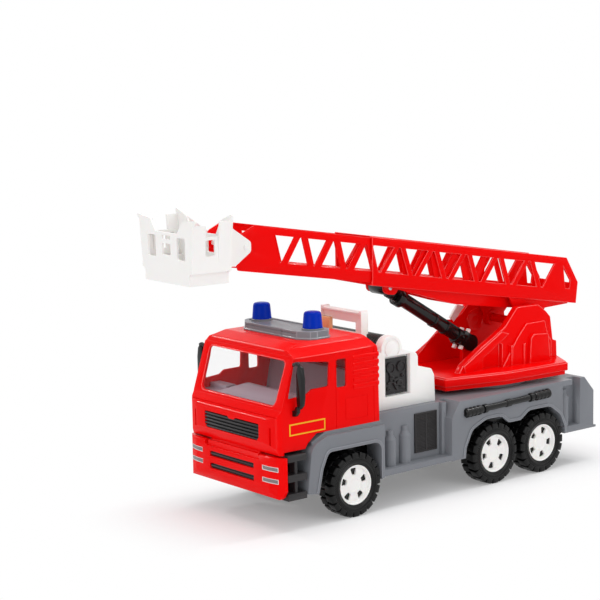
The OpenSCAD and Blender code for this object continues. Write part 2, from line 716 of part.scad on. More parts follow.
rest_x = [-60.7, -56.3];
rest_half = 40;
module ladder_rest() color(white) truck() along_x(rest_x[0], rest_x[1]) difference() {
  polygon([
    [-rest_half, 166], [-rest_half, rest_z + 2], [3.5 - rest_half, rest_z + 2], [5 - rest_half, rest_z],
    [rest_half - 5, rest_z], [rest_half - 3.5, rest_z + 2], [rest_half, rest_z + 2], [rest_half, 166]
  ]);
  polygon(rounded([[-20, 195, 2], [20, 195, 2], [20, 209, 2], [-20, 209, 2]]));
}

// ---------- turntable ----------
table_plan = [
  [97.3, -56.9, 2], [97.3, 56.9, 2], [16.8, 74, 4], [-84, 74, 4], [-110, 26, 3], [-110, -26, 3],
  [-84, -74, 4], [16.8, -74, 4]
];
band_z = 116;
table_pockets = [[-98, -60, 30], [-57, -20, 60], [20, 52, 60], [55, 90, 48]];
ram_x = 14;
ram_z = 152.8;
ram_lug = 3;
ram_cap_r = 10;
ram_cap_out = 9.5;
ram_pin_out = 7.8;
module turntable_deck() color(red) turret() {
  difference() {
    union() {
      along_z(band_z, table_top - 2) polygon(rounded(table_plan));
      along_z(table_top - 2.1, table_top) scale([0.985, 0.98]) polygon(rounded(table_plan));
      along_z(table_z, band_z + 0.1) scale([0.975, 0.965]) polygon(rounded(table_plan));
    }
    both() for (p = table_pockets) block(p[0], p[1], 3, p[2], table_z - 1, table_top - 4);
  }
  translate([0, 0, frame_top]) cylinder(r = swivel_r, h = table_z - frame_top + 1);
  difference() {
    along_y(-ram_lug, ram_lug) polygon(rounded([
      [ram_x - 20, table_top - 1], [ram_x - 8, ram_z + 8, 7], [ram_x + 8, ram_z + 8, 7],
      [ram_x + 9, table_top - 1]
    ]));
    rod_y(ram_x, ram_z, ram_pin_r, -20, 20);
  }
}
module swivel_retainer() color(black) turret() difference() {
  translate([0, 0, frame_top]) cylinder(r = retainer_r, h = deck_under - frame_top - 0.3);
  translate([0, 0, frame_top - 1]) cylinder(r = swivel_r, h = 10);
}

cheek_rear = [
  [-61.4, 195.8, 6], [-74.1, 186.4, 3], [-81.3, 179, 2], [-85.5, 150.3, 2], [-91.6, 148.4, 2],
  [-92.5, table_top]
];
cheek_main = concat([
  [66, table_top], [60.6, 135.3], [33.3, 152.6, 20], [9.2, 165.4, 20], [-6.5, 174.1, 3],
  [-26.7, 196.2, 4]
], cheek_rear);
cheek_wing = [
  [66, table_top], [60, 128], [60, 138], [12, 175.3], [-1, 174], [-26.7, 190], [-40, 150], [-20, table_top]
];
cheek_tab = [[4, 172], [5.1, 177], [-5, 191, 1], [-16, 187.5, 1], [-12, 172]];
cheek_raised = [
  [0, table_top], [-24, 160, 6], [-38.5, 175.3, 3], [-69, 176, 2], [-74, 158, 3], [-80, 150, 2],
  [-80, table_top]
];
cheek_box = [[-40, table_top], [-42, 158, 3], [-47, 162.3, 3], [-70.5, 160.5, 2], [-74, table_top]];
cheek_rib = [[58, table_top], [60.6, 135.3], [0.5, 170], [-12, 166], [34, 139], [45, table_top]];
cheek_out = cheek_in + 9;
module cheek_plate(shape, y0, y1) along_y(y0, y1) polygon(rounded(shape));
module tower_body() {
  cheek_plate(cheek_main, cheek_in, cheek_in + 3);
  difference() {
    cheek_plate(cheek_main, cheek_in + 2, cheek_out);
    cheek_plate([[28, table_top - 1], [28, 140], [3, 156], [-2, 154], [-2, table_top - 1]],
      cheek_in + 3, cheek_out + 1);
  }
  cheek_plate(cheek_raised, cheek_out - 1, cheek_out + 3.5);
  cheek_plate(cheek_box, cheek_out - 1, cheek_out + 8);
  cheek_plate(cheek_rib, cheek_out - 2, cheek_out + 2.5);
  for (x = [-12, -32]) cheek_plate([[x, table_top], [x, 152], [x - 3, 152], [x - 3, table_top]],
    cheek_out - 1, cheek_out + 6);
}
module tower_hole() rod_y(lift_x, lift_z, lift_r, cheek_in - 1, cheek_in + 6);
module tower_left() color(red) turret() difference() {
  tower_body();
  tower_hole();
}
module tower_right() color(red) turret() mirror([0, 1, 0]) difference() {
  union() {
    tower_body();
    cheek_plate(cheek_wing, cheek_in, cheek_in + 3);
    cheek_plate(cheek_tab, cheek_in, cheek_in + 2);
  }
  tower_hole();
}
module lift_pin() color(red) turret() rod_y(lift_x, lift_z, lift_r, -cheek_in - 5.8, cheek_in + 5.8);

// ---------- ladder ----------
window_low = -22.5;
window_high = 7;
base_front = 190;
base_phase = 147.7;
fly_rear = 12;
fly_phase = 194.2;
rail_top = 16.5;
fly_top = 15;
fly_low = -35;
box_low = -38.4;
base_in = fly_half + slide_gap;
pivot_u = boom_u(lift_x, lift_z);
pivot_v = boom_v(lift_x, lift_z);
ear_u = 140.3;
ear_v = -40.2;
ear_in = 13.5;
ear_out = 17.5;
web_half = 24;

module zigzag(first, last, step, phase, from, to) {
  b = step / 2 - bar_w;
  for (k = [first:last]) {
    c = phase + k * step;
    if (c - b > from && c + b < to)
      polygon([[c - b, window_low], [c + b, window_low], [c + 1.2, window_high], [c - 1.2, window_high]]);
    d = c + step / 2;
    if (d - b > from && d < to)
      intersection() {
        polygon([[d - b, window_high], [d + b, window_high], [d + 1.2, window_low], [d - 1.2, window_low]]);
        translate([from, window_low]) square([to - from, window_high - window_low]);
      }
  }
}
module base_side() difference() {
  polygon([
    [base_front, rail_top], [base_front - 8, -31], [base_front - 8, box_low],
    [-143.5, box_low], [-142.3, -11.8], [-118.2, rail_top]
  ]);
  zigzag(-5, 0, base_step, base_phase, -112, base_front - 3.5);
  polygon([[-114.5, 5], [-129.5, -10.9], [-129.5, -21.4], [-122, -21.5]]);
}
module base_rail(flip) color(red) boom() mirror([0, flip, 0]) {
  along_y(base_in, base_half) base_side();
  along_y(base_in - 2.5, base_in + 0.1)
    polygon([
      [-110, fly_top + slide_gap], [base_front - 2, fly_top + slide_gap],
      [base_front - 1, rail_top], [-117, rail_top]
    ]);
}
module base_rail_left() base_rail(0);
module base_rail_right() base_rail(1);
rung_step = 23;
rung_w = 4;
eye_slot = [-15, 13];
module base_ladder() color(red) boom() {
  difference() {
    union() {
      block(-143.5, base_front - 8, -base_in, base_in, box_low, fly_low - 0.4);
      block(-143.5, -140.9, -base_in, base_in, box_low, -14);
    }
    for (u = [-120:rung_step:base_front - 30])
      block(u, u + rung_step - 6, 8 - web_half, web_half - 8, box_low - 1, fly_low + 1);
    block(ear_u + eye_slot[0], ear_u + eye_slot[1], 0.1 - ear_in, ear_in - 0.1, box_low - 1, fly_low + 1);
    rod_y(ear_u, ear_v, ram_pin_r, -ear_out, ear_out);
  }
  both() along_y(web_half - 2.4, web_half)
    polygon([
      [180, box_low + 1], [148.7, box_low - 0.5], [44.5, -52.4], [-18.4, -51.6], [-93, -49.7],
      [-140, -40], [-140, box_low + 1]
    ]);
  along_y(-web_half, web_half)
    polygon([
      [36, -50.2], [44.5, -52.4], [-18.4, -51.6], [-93, -49.7], [-140, -40], [-140, -38.2],
      [-92, -47.7], [-18, -49.6]
    ]);
  both() difference() {
    union() {
      along_y(base_in - 2.8, base_in) polygon([
        [pivot_u - 34, box_low + 0.5], [pivot_u + 34, box_low + 0.5],
        [pivot_u + 9, pivot_v - 5], [pivot_u - 9, pivot_v - 5]
      ]);
      rod_y(pivot_u, pivot_v, lift_r + 5, base_in - 4, cheek_in - 0.6);
    }
    rod_y(pivot_u, pivot_v, lift_r + run_gap, 0, cheek_in + 5);
  }
  both() difference() {
    along_y(ear_in, ear_out) polygon(rounded([
      [ear_u - 14, box_low + 0.5], [ear_u - 8, ear_v - 7.5, 6], [ear_u + 7, ear_v - 7.5, 6],
      [ear_u + 10, box_low + 0.5]
    ]));
    rod_y(ear_u, ear_v, ram_pin_r, 0, 30);
  }
}

tip_u = 360;
tip_v = -9;
fly_in = fly_half - rail_t;
fly_outline = [
  [fly_rear, fly_top], [350, fly_top, 3], [366, 4, 3], [370, -10, 3], [370, -22, 2], [364, fly_low, 2],
  [fly_rear, fly_low]
];
module fly_side() difference() {
  polygon(rounded(fly_outline));
  zigzag(-4, 3, fly_step, fly_phase, fly_rear + 5, 344);
}
module fly_rail(flip) color(red) boom() mirror([0, flip, 0]) difference() {
  union() {
    along_y(fly_in, fly_half) fly_side();
    block(fly_rear, 340, fly_in - 2.5, fly_in + 0.1, fly_top - 1.8, fly_top);
    rod_y(tip_u, tip_v, tip_r + 4, fly_in - 2, fly_half);
  }
  rod_y(tip_u, tip_v, tip_r, -fly_half - 5, fly_half + 5);
}
module fly_rail_left() fly_rail(0);
module fly_rail_right() fly_rail(1);
rung_v = fly_low + 8;
module fly_ladder() color(red) boom() {
  both() block(fly_rear, 355, fly_in - 2, fly_in, fly_low, rung_v + rung_w);
  both() block(fly_rear, 355, fly_in - 4, fly_in, fly_low, fly_low + 1.8);
  for (u = [fly_rear:rung_step:345])
    block(u, u + rung_w, -fly_in + 1, fly_in - 1, rung_v, rung_v + rung_w);
}

// ---------- basket ----------
pin_x = tip_u * cos(pitch) - tip_v * sin(pitch);
pin_z = boom_z + tip_u * sin(pitch) + tip_v * cos(pitch);
tray_rear = pin_x + 28.5;
tray_front = 434.5;
tray_top = 289.5;
side_top = 317;
side_wall_out = 49.5;
rim_out = 53.8;
tip_out = 60.6;
front_tip_z = 337;
rear_tip_z = 340;
bracket_in = fly_half + 0.5;
bracket_out = bracket_in + 3;
front_wing = 18;
side_wing = 16;
// Half of a wall seen from the front: top middle, inner slope, tip, and down the flared outer edge.
module flared_wall(mid_top, in_y, neck_z, tip_y, tip_z) polygon(rounded([
  [0, tray_top - 1], [0, mid_top], [in_y, mid_top, 4], [in_y + 10, neck_z, 4], [tip_y, tip_z, 1.5],
  [rim_out, neck_z - 3, 3], [side_wall_out, tray_top - 2], [side_wall_out, tray_top - 8],
  [tray_half - 2, tray_top - 14], [tray_half - 2, tray_top - 1]
]));
module wall_opening(x0, x1, z0, z1)
  polygon(rounded([[x0, z0, 1.5], [x1, z0, 1.5], [x1, z1, 1.5], [x0, z1, 1.5]]));
// The side part of a corner post, flaring outwards as it rises.
module corner_wing(x0, x1, z1) intersection() {
  along_x(x0, x1) polygon([
    [side_wall_out - tray_t, tray_top - 8], [side_wall_out, tray_top - 8],
    [side_wall_out, tray_top - 2], [rim_out, z1 - 7], [rim_out - tray_t, z1 - 7],
    [side_wall_out - tray_t, tray_top - 2]
  ]);
  along_y(0, 90) polygon(rounded([
    [x0, tray_top - 8], [x0, z1, 5], [x1, z1, 5], [x1, tray_top - 8]
  ]));
}
module basket() color(white) turret() {
  difference() {
    block(tray_rear, tray_front, -tray_half, tray_half, tray_floor, tray_top);
    translate([0, 0, tray_t])
      block(
        tray_rear + tray_t, tray_front - tray_t, tray_t - tray_half, tray_half - tray_t,
        tray_floor, tray_top
      );
    for (x = [tray_rear + 9:10:tray_front - 12])
      block(x, x + 4, -30, 30, tray_floor - 1, tray_floor + 5);
  }
  both() {
    along_z(tray_top - 10, tray_top - 7) polygon([
      [tray_rear, tray_half - 1], [tray_rear, side_wall_out], [tray_front, side_wall_out],
      [tray_front, tray_half - 1]
    ]);
    corner_wing(tray_front - side_wing, tray_front, front_tip_z);
    corner_wing(tray_rear, tray_rear + side_wing, rear_tip_z);
    along_y(side_wall_out - tray_t, side_wall_out) difference() {
      polygon([
        [tray_rear, tray_top - 8], [tray_rear, side_top], [tray_front, side_top], [tray_front, tray_top - 8]
      ]);
      wall_opening(tray_rear + 10, tray_rear + 15, 295.5, side_top - 3);
      wall_opening(tray_rear + 20, tray_rear + 32, 297, side_top - 3);
      wall_opening(tray_front - 14, tray_front - 7, 297, side_top - 3);
    }
    along_x(tray_front - tray_t, tray_front) difference() {
      flared_wall(320, 21.7, 333, tip_out, front_tip_z);
      wall_opening(21, 37, 292.6, 316);
      translate([0, 296]) square([8.5, 12.5]);
      translate([0, 312.5]) square([8.5, 4.5]);
    }
    along_x(tray_rear, tray_rear + tray_t) difference() {
      flared_wall(316, 24, 332, tip_out - 5, rear_tip_z);
      wall_opening(6, 22, 296, 312);
    }
    difference() {
      along_y(bracket_in, bracket_out) polygon(rounded([
        [tray_rear + 1, 281.5], [pin_x + 14, 281.5, 3], [pin_x - 6.5, 295.5, 5], [pin_x - 6.5, 306, 5],
        [tray_rear + 1, 331]
      ]));
      rod_y(pin_x, pin_z, tip_r + run_gap, 0, 60);
    }
  }
}
module basket_pin() color(white) boom() rod_y(tip_u, tip_v, tip_r, -bracket_out - 1, bracket_out + 1);

// ---------- lift cylinder ----------
ram_top_x = ear_u * cos(pitch) - ear_v * sin(pitch);
ram_top_z = boom_z + ear_u * sin(pitch) + ear_v * cos(pitch);
ram_len = norm([ram_top_x - ram_x, ram_top_z - ram_z]);
ram_tilt = atan2(ram_top_z - ram_z, ram_top_x - ram_x);
barrel_len = 128;
bore_from = 20;
eye_gap = 4;
module ram() turret() translate([ram_x, 0, ram_z]) rotate([0, -ram_tilt, 0]) rotate([0, 90, 0]) children();
module cylinder_barrel() color(black) ram() difference() {
  union() {
    translate([0, 0, 12]) cylinder(r = barrel_r, h = barrel_len - 12);
    both() {
      rotate([90, 0, 0]) translate([0, 0, -ram_cap_out]) cylinder(r = ram_cap_r, h = ram_cap_out - ram_lug - 0.3);
      translate([-ram_cap_r + 1, ram_lug + 0.3, 0]) cube([2 * ram_cap_r - 2, 6, 16]);
    }
    translate([0, 0, 14]) cylinder(r = barrel_r + 2, h = 8);
    translate([0, 0, 60]) cylinder(r = barrel_r + 1, h = 4);
    translate([0, 0, 40]) cylinder(r = barrel_r + 1, h = 3);
    translate([0, 0, barrel_len - 9]) cylinder(r = barrel_r + 3, h = 9);
    translate([-barrel_r - 1.5, -3, 20]) cube([3, 6, barrel_len - 30]);
  }
  translate([0, 0, bore_from]) cylinder(r = rod_r + run_gap, h = barrel_len);
  rotate([90, 0, 0]) cylinder(r = ram_pin_r + run_gap, h = 2 * ram_pin_out + 0.4, center = true);
}
module cylinder_rod() color(black) ram() difference() {
  union() {
    translate([0, 0, bore_from + 16]) cylinder(r = rod_r, h = ram_len - bore_from - 20);
    translate([0, 0, ram_len - 18]) cylinder(r = rod_r + 3, h = 6);
    translate([0, 0, ram_len]) rotate([90, 0, 0]) cylinder(r = 9, h = 25, center = true);
    translate([0, 0, ram_len - 12]) cylinder(r = 6.5, h = 8);
  }
  translate([0, 0, ram_len]) rotate([90, 0, 0]) cylinder(r = ram_pin_r + eye_gap, h = 40, center = true);
}
module ram_pin_low() color(steel) turret() rod_y(ram_x, ram_z, ram_pin_r, -ram_pin_out, ram_pin_out);
module ram_pin_top() color(steel) boom() rod_y(ear_u, ear_v, ram_pin_r, -ear_out, ear_out);

chassis_body();
underframe();
axle_front();
axle_mid();
axle_rear();
hub_front_left();
hub_front_right();
hub_mid_left();
hub_mid_right();
hub_rear_left();
hub_rear_right();
tyre_front_left();
tyre_front_right();
tyre_mid_left();
tyre_mid_right();
tyre_rear_left();
tyre_rear_right();
cab_shell();
cab_interior();
cab_glazing();
grille();
bumper();
bumper_slats();
headlamps();
light_bar();
beacon_left();
beacon_right();
mirror_left();
mirror_right();
steps_left();
steps_right();
plate_left();
plate_right();
pump_housing();
panel_left();
panel_right();
hose_reel();
ladder_rest();
louvre_left();
louvre_right();
nozzle_left();
nozzle_right();
turntable_deck();
tower_left();
tower_right();
swivel_retainer();
lift_pin();
base_ladder();
base_rail_left();
base_rail_right();
fly_ladder();
fly_rail_left();
fly_rail_right();
basket();
basket_pin();
cylinder_barrel();
cylinder_rod();
ram_pin_low();
ram_pin_top();
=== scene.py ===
import json
import math

import bmesh
import bpy
from mathutils import Matrix, Vector


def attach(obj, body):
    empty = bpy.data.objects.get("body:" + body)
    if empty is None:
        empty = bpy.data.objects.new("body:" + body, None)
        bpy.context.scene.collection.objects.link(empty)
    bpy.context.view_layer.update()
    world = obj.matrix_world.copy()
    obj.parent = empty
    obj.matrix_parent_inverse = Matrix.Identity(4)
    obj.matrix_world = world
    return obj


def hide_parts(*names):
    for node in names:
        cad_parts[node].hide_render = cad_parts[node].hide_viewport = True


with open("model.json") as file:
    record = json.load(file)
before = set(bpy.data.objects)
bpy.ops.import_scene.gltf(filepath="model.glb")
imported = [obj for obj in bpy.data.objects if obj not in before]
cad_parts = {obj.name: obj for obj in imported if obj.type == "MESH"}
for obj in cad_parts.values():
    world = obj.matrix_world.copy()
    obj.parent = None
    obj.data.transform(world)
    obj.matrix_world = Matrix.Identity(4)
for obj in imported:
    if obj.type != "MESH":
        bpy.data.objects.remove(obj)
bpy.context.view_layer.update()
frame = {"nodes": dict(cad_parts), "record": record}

N = frame["nodes"]
MM = 0.001
FRONT = 116.8          # row X of the front axle, mm
SWIVEL = -265.0        # the swivel axis, measured forward from the front axle, mm
YAW = math.radians(-2.7)

scene = bpy.context.scene
scene.view_settings.view_transform = "Standard"


# ---------------------------------------------------------------- materials
MIX_A, MIX_B, MIX_RESULT = 6, 7, 2      # the Mix node's colour sockets


def nodes_of(mat):
    mat.use_nodes = True
    nt = mat.node_tree
    for n in list(nt.nodes):
        if n.type not in ("BSDF_PRINCIPLED", "OUTPUT_MATERIAL"):
            nt.nodes.remove(n)
    return nt, nt.nodes["Principled BSDF"]


def plastic(name, color, rough=0.3, grain=0.02, grain_scale=900.0, vary=0.06, coat=0.0,
            scuff=0.0, metallic=0.0, spec=0.5, wave=0.0, subsurface=0.0):
    """Moulded plastic: slow colour drift, flow marks, fine surface grain and light scuffs."""
    mat = bpy.data.materials.new(name)
    nt, bsdf = nodes_of(mat)
    new, link = nt.nodes.new, nt.links.new
    co = new("ShaderNodeTexCoord")
    drift = new("ShaderNodeTexNoise")
    drift.inputs["Scale"].default_value = 9.0
    drift.inputs["Detail"].default_value = 3.0
    link(co.outputs["Object"], drift.inputs["Vector"])
    ramp = new("ShaderNodeMix")
    ramp.data_type = "RGBA"
    ramp.inputs[MIX_A].default_value = [c * (1.0 - vary) for c in color] + [1.0]
    ramp.inputs[MIX_B].default_value = [min(1.0, c * (1.0 + vary)) for c in color] + [1.0]
    link(drift.outputs["Fac"], ramp.inputs[0])
    out = ramp.outputs[MIX_RESULT]
    if scuff > 0:
        sc = new("ShaderNodeTexNoise")
        sc.inputs["Scale"].default_value = 60.0
        sc.inputs["Detail"].default_value = 6.0
        sc.inputs["Roughness"].default_value = 0.7
        link(co.outputs["Object"], sc.inputs["Vector"])
        sr = new("ShaderNodeMapRange")
        sr.inputs["From Min"].default_value = 0.60
        sr.inputs["From Max"].default_value = 0.75
        sr.inputs["To Max"].default_value = scuff
        link(sc.outputs["Fac"], sr.inputs["Value"])
        mx = new("ShaderNodeMix")
        mx.data_type = "RGBA"
        mx.inputs[MIX_B].default_value = [min(1.0, c * 0.8 + 0.12) for c in color] + [1.0]
        link(sr.outputs[0], mx.inputs[0])
        link(out, mx.inputs[MIX_A])
        out = mx.outputs[MIX_RESULT]
    link(out, bsdf.inputs["Base Color"])
    rn = new("ShaderNodeTexNoise")
    rn.inputs["Scale"].default_value = 35.0
    rn.inputs["Detail"].default_value = 4.0
    link(co.outputs["Object"], rn.inputs["Vector"])
    rr = new("ShaderNodeMapRange")
    rr.inputs["To Min"].default_value = max(0.02, rough - 0.06)
    rr.inputs["To Max"].default_value = min(1.0, rough + 0.08)
    link(rn.outputs["Fac"], rr.inputs["Value"])
    link(rr.outputs[0], bsdf.inputs["Roughness"])
    gn = new("ShaderNodeTexNoise")
    gn.inputs["Scale"].default_value = grain_scale
    gn.inputs["Detail"].default_value = 2.0
    link(co.outputs["Object"], gn.inputs["Vector"])
    bump = new("ShaderNodeBump")
    bump.inputs["Strength"].default_value = grain
    bump.inputs["Distance"].default_value = 0.0004
    link(gn.outputs["Fac"], bump.inputs["Height"])
    last = bump
    if wave > 0:
        wn = new("ShaderNodeTexNoise")
        wn.inputs["Scale"].default_value = 22.0
        link(co.outputs["Object"], wn.inputs["Vector"])
        wb = new("ShaderNodeBump")
        wb.inputs["Strength"].default_value = wave
        wb.inputs["Distance"].default_value = 0.002
        link(wn.outputs["Fac"], wb.inputs["Height"])
        link(bump.outputs["Normal"], wb.inputs["Normal"])
        last = wb
    link(last.outputs["Normal"], bsdf.inputs["Normal"])
    bsdf.inputs["Metallic"].default_value = metallic
    bsdf.inputs["Specular IOR Level"].default_value = spec
    bsdf.inputs["Coat Weight"].default_value = coat
    bsdf.inputs["Coat Roughness"].default_value = 0.08
    if subsurface > 0:
        bsdf.inputs["Subsurface Weight"].default_value = subsurface
        bsdf.inputs["Subsurface Scale"].default_value = 0.004
    return mat


RED = plastic("red_gloss", (0.86, 0.0022, 0.0022), rough=0.20, vary=0.03, wave=0.03, spec=0.045)
GREY = plastic("grey_semi_gloss", (0.185, 0.195, 0.215), grain=0.04, vary=0.04, wave=0.03,
               scuff=0.04, spec=0.25)
BLACK = plastic("black_satin", (0.005, 0.005, 0.005), rough=0.20, grain=0.04, vary=0.15, spec=0.3)
DARK = plastic("dark_satin", (0.022, 0.020, 0.021), rough=0.36, grain=0.08, vary=0.12, spec=0.3)
TYRE = plastic("tyre_black", (0.004, 0.004, 0.004), grain=0.10, grain_scale=500.0, vary=0.2, spec=0.22)
WHITE = plastic("white_gloss", (0.905, 0.895, 0.875), vary=0.015, wave=0.02, subsurface=0.06, spec=0.25)
MILK = plastic("milky_white", (0.93, 0.91, 0.88), rough=0.32, vary=0.02, wave=0.02, subsurface=0.10,
               spec=0.25)
AMBER = plastic("amber_gloss", (0.86, 0.48, 0.24), rough=0.25, vary=0.05, spec=0.25)
BLUE = plastic("blue_gloss", (0.0003, 0.026, 0.42), rough=0.22, spec=0.05)
CHROME = plastic("lamp_chrome", (0.17, 0.14, 0.14), rough=0.20, grain=0.05, vary=0.10, coat=0.4, spec=0.6)
# pale rims for the lamp lenses: a painted highlight on the lens edges
PAINTED_LAMP_RIM = plastic("lamp_rim", (0.80, 0.76, 0.76), rough=0.16, grain=0.05, vary=0.04, spec=0.6)
STEEL = plastic("axle_steel", (0.50, 0.50, 0.52), rough=0.35, grain=0.2, grain_scale=1400.0, vary=0.08,
                metallic=1.0)
CABIN = plastic("cabin_grey", (0.40, 0.31, 0.36), rough=0.45, grain=0.06, vary=0.05, scuff=0.03, spec=0.25)
PRINT = plastic("yellow_print", (0.90, 0.48, 0.015), rough=0.35, vary=0.04, spec=0.2)

# painted highlight on rounded edges: lighter, glossier copies of the red and grey, by CAD slot and by the
# finish they go with
HIGHLIGHT_EDGES = {
    "red_plastic": plastic("red_painted_edge_highlight", (0.88, 0.012, 0.012), rough=0.16, vary=0.02, coat=0.5, spec=0.8),
    "grey_plastic": plastic("grey_painted_edge_highlight", (0.27, 0.28, 0.31), rough=0.18, vary=0.03, coat=0.5, spec=0.8),
}
PAINTED_GLEAM = {"red_gloss": HIGHLIGHT_EDGES["red_plastic"], "grey_semi_gloss": HIGHLIGHT_EDGES["grey_plastic"]}


def glass():
    mat = bpy.data.materials.new("clear_pane")
    nt, bsdf = nodes_of(mat)
    new, link = nt.nodes.new, nt.links.new
    bsdf.inputs["Base Color"].default_value = (0.35, 0.38, 0.40, 1.0)
    bsdf.inputs["Transmission Weight"].default_value = 0.0
    bsdf.inputs["Alpha"].default_value = 0.025
    bsdf.inputs["Specular IOR Level"].default_value = 0.5
    co = new("ShaderNodeTexCoord")
    n = new("ShaderNodeTexNoise")
    n.inputs["Scale"].default_value = 18.0
    link(co.outputs["Object"], n.inputs["Vector"])
    r = new("ShaderNodeMapRange")
    r.inputs["To Min"].default_value = 0.03
    r.inputs["To Max"].default_value = 0.10
    link(n.outputs["Fac"], r.inputs["Value"])
    link(r.outputs[0], bsdf.inputs["Roughness"])
    return mat


PANE = glass()
LOOK = {
    "red_plastic": RED, "grey_plastic": GREY, "black_plastic": BLACK, "white_plastic": WHITE,
    "blue_plastic": BLUE, "dark_plastic": DARK, "tyre_plastic": TYRE, "lamp_chrome": CHROME,
    "axle_steel": STEEL, "plate_print": PRINT, "cab_inside": CABIN, "clear_pane": PANE,
}
SLOT = {p["node"]: p["material_slot"] for p in frame["record"]["subparts"]}


def dress_cad(node, width=0.5, segments=2, angle=28.0):
    """A carried-over CAD node: welded, its edges rounded, and given its finish."""
    o = N[node]
    o.data.materials.clear()
    o.data.materials.append(LOOK[SLOT[node]])
    w = o.modifiers.new("weld", "WELD")
    w.merge_threshold = 0.00001
    # red and grey nodes take the lighter, glossier edge copy on their rounded edges: a painted highlight
    if SLOT[node] in HIGHLIGHT_EDGES:
        o.data.materials.append(HIGHLIGHT_EDGES[SLOT[node]])
    if width > 0:
        b = o.modifiers.new("edge", "BEVEL")
        b.width = width * MM
        b.segments = segments
        b.limit_method = "ANGLE"
        b.angle_limit = math.radians(angle)
        b.use_clamp_overlap = True
        b.harden_normals = True
        b.material = len(o.data.materials) - 1
    for p in o.data.polygons:
        p.use_smooth = True
    return o


for name in N:
    if name == "basket":      # thin flat walls: crisp edges, each face shaded flat
        dress_cad(name, width=0).modifiers.new("crisp", "EDGE_SPLIT").split_angle = math.radians(14)
    else:
        dress_cad(name, width=0.8 if "ladder" in name or "rail" in name or "tower" in name else 0.5)

# ---------------------------------------------------------------- shape tools
TRUCK = Matrix.Translation((FRONT, 0, 0))
TURRET = Matrix.Translation((FRONT + SWIVEL, 0, 0)) @ Matrix.Rotation(YAW, 4, "Z")
FLIP = Matrix.Scale(-1, 4, (0, 1, 0))


def on_side(flip, base=TRUCK):
    """The frame for a piece drawn on the left, or its mirror image on the right."""
    return base @ FLIP if flip else base


def rounded(pts, n=6):
    """Corners (a, b) or (a, b, radius) with each radius drawn as an arc of n chords."""
    out = []
    for i, p in enumerate(pts):
        if len(p) < 3 or not p[2]:
            out.append((p[0], p[1]))
            continue
        a, c, b = Vector(pts[i - 1][:2]), Vector(pts[(i + 1) % len(pts)][:2]), Vector(p[:2])
        u, v = (a - b).normalized(), (c - b).normalized()
        half = math.acos(max(-1.0, min(1.0, u.dot(v)))) / 2
        d = p[2] / math.tan(half)
        o = b + (u + v).normalized() * p[2] / math.sin(half)
        s, e = b + u * d - o, b + v * d - o
        for k in range(n + 1):
            w = s.lerp(e, k / n).normalized() * p[2]
            out.append((o.x + w.x, o.y + w.y))
    return out


def to_object(bm, name="part"):
    bmesh.ops.recalc_face_normals(bm, faces=bm.faces)
    mesh = bpy.data.meshes.new(name)
    bm.to_mesh(mesh)
    bm.free()
    o = bpy.data.objects.new(name, mesh)
    scene.collection.objects.link(o)
    return o


def prism(axis, lo, hi, pts):
    """A polygon drawn through the body along an axis: y takes (x, z), x takes (y, z), z takes (x, y)."""
    place = {
        "x": lambda p, t: (t, p[0], p[1]),
        "y": lambda p, t: (p[0], t, p[1]),
        "z": lambda p, t: (p[0], p[1], t),
    }[axis]
    bm = bmesh.new()
    a = [bm.verts.new(place(p, lo)) for p in pts]
    b = [bm.verts.new(place(p, hi)) for p in pts]
    bm.faces.new(a)
    bm.faces.new(list(reversed(b)))
    for i in range(len(pts)):
        j = (i + 1) % len(pts)
        bm.faces.new((a[i], b[i], b[j], a[j]))
    return to_object(bm)


def box(x0, x1, y0, y1, z0, z1):
    return prism("z", z0, z1, [(x0, y0), (x1, y0), (x1, y1), (x0, y1)])


def lathe(profile, axis="y", at=(0, 0, 0), seg=64):
    """Turned body from (distance along the axis, radius) pairs; radius 0 closes it."""
    bm = bmesh.new()
    angles = [2 * math.pi * k / seg for k in range(seg)]
    rings = []
    for t, r in profile:
        if r <= 1e-6:
            rings.append([bm.verts.new((0, 0, t))])
        else:
            rings.append([bm.verts.new((r * math.cos(w), r * math.sin(w), t)) for w in angles])
    for p, q in zip(rings, rings[1:]):
        for k in range(seg):
            m = (k + 1) % seg
            if len(p) == 1 and len(q) == 1:
                continue
            if len(p) == 1:
                bm.faces.new((p[0], q[k], q[m]))
            elif len(q) == 1:
                bm.faces.new((p[k], p[m], q[0]))
            else:
                bm.faces.new((p[k], p[m], q[m], q[k]))
    if len(rings[0]) > 1 and len(rings[-1]) > 1:
        for k in range(seg):
            m = (k + 1) % seg
            bm.faces.new((rings[-1][k], rings[-1][m], rings[0][m], rings[0][k]))
    o = to_object(bm)
    turn_to = {
        "x": Matrix.Rotation(math.pi / 2, 4, "Y"),
        "y": Matrix.Rotation(-math.pi / 2, 4, "X"),
        "z": Matrix.Identity(4),
    }[axis]
    o.data.transform(Matrix.Translation(at) @ turn_to)
    return o


def rod(axis, lo, hi, a, b, r, seg=32):
    """A round bar along an axis, with (a, b) its centre in the plane across that axis."""
    at = {"y": (a, 0, b), "x": (0, a, b), "z": (a, b, 0)}[axis]
    return lathe([(lo, 0), (lo, r), (hi, r), (hi, 0)], axis, at, seg)


def settle(o):
    """Applies what modifiers o has."""
    dg = bpy.context.evaluated_depsgraph_get()
    dg.update()
    mesh = bpy.data.meshes.new_from_object(o.evaluated_get(dg))
    o.modifiers.clear()
    old = o.data
    o.data = mesh
    bpy.data.meshes.remove(old)
    return o


def combine(a, tools, how):
    """a with every tool cut away (DIFFERENCE), joined (UNION) or kept in common (INTERSECT)."""
    for t in tools:
        m = a.modifiers.new("op", "BOOLEAN")
        m.operation = how
        m.solver = "EXACT"
        m.object = t
        settle(a)
        bpy.data.objects.remove(t)
    return a


def cut(a, *tools):
    return combine(a, tools, "DIFFERENCE")


def fuse(a, *tools):
    return combine(a, tools, "UNION")


def common(a, *tools):
    return combine(a, tools, "INTERSECT")


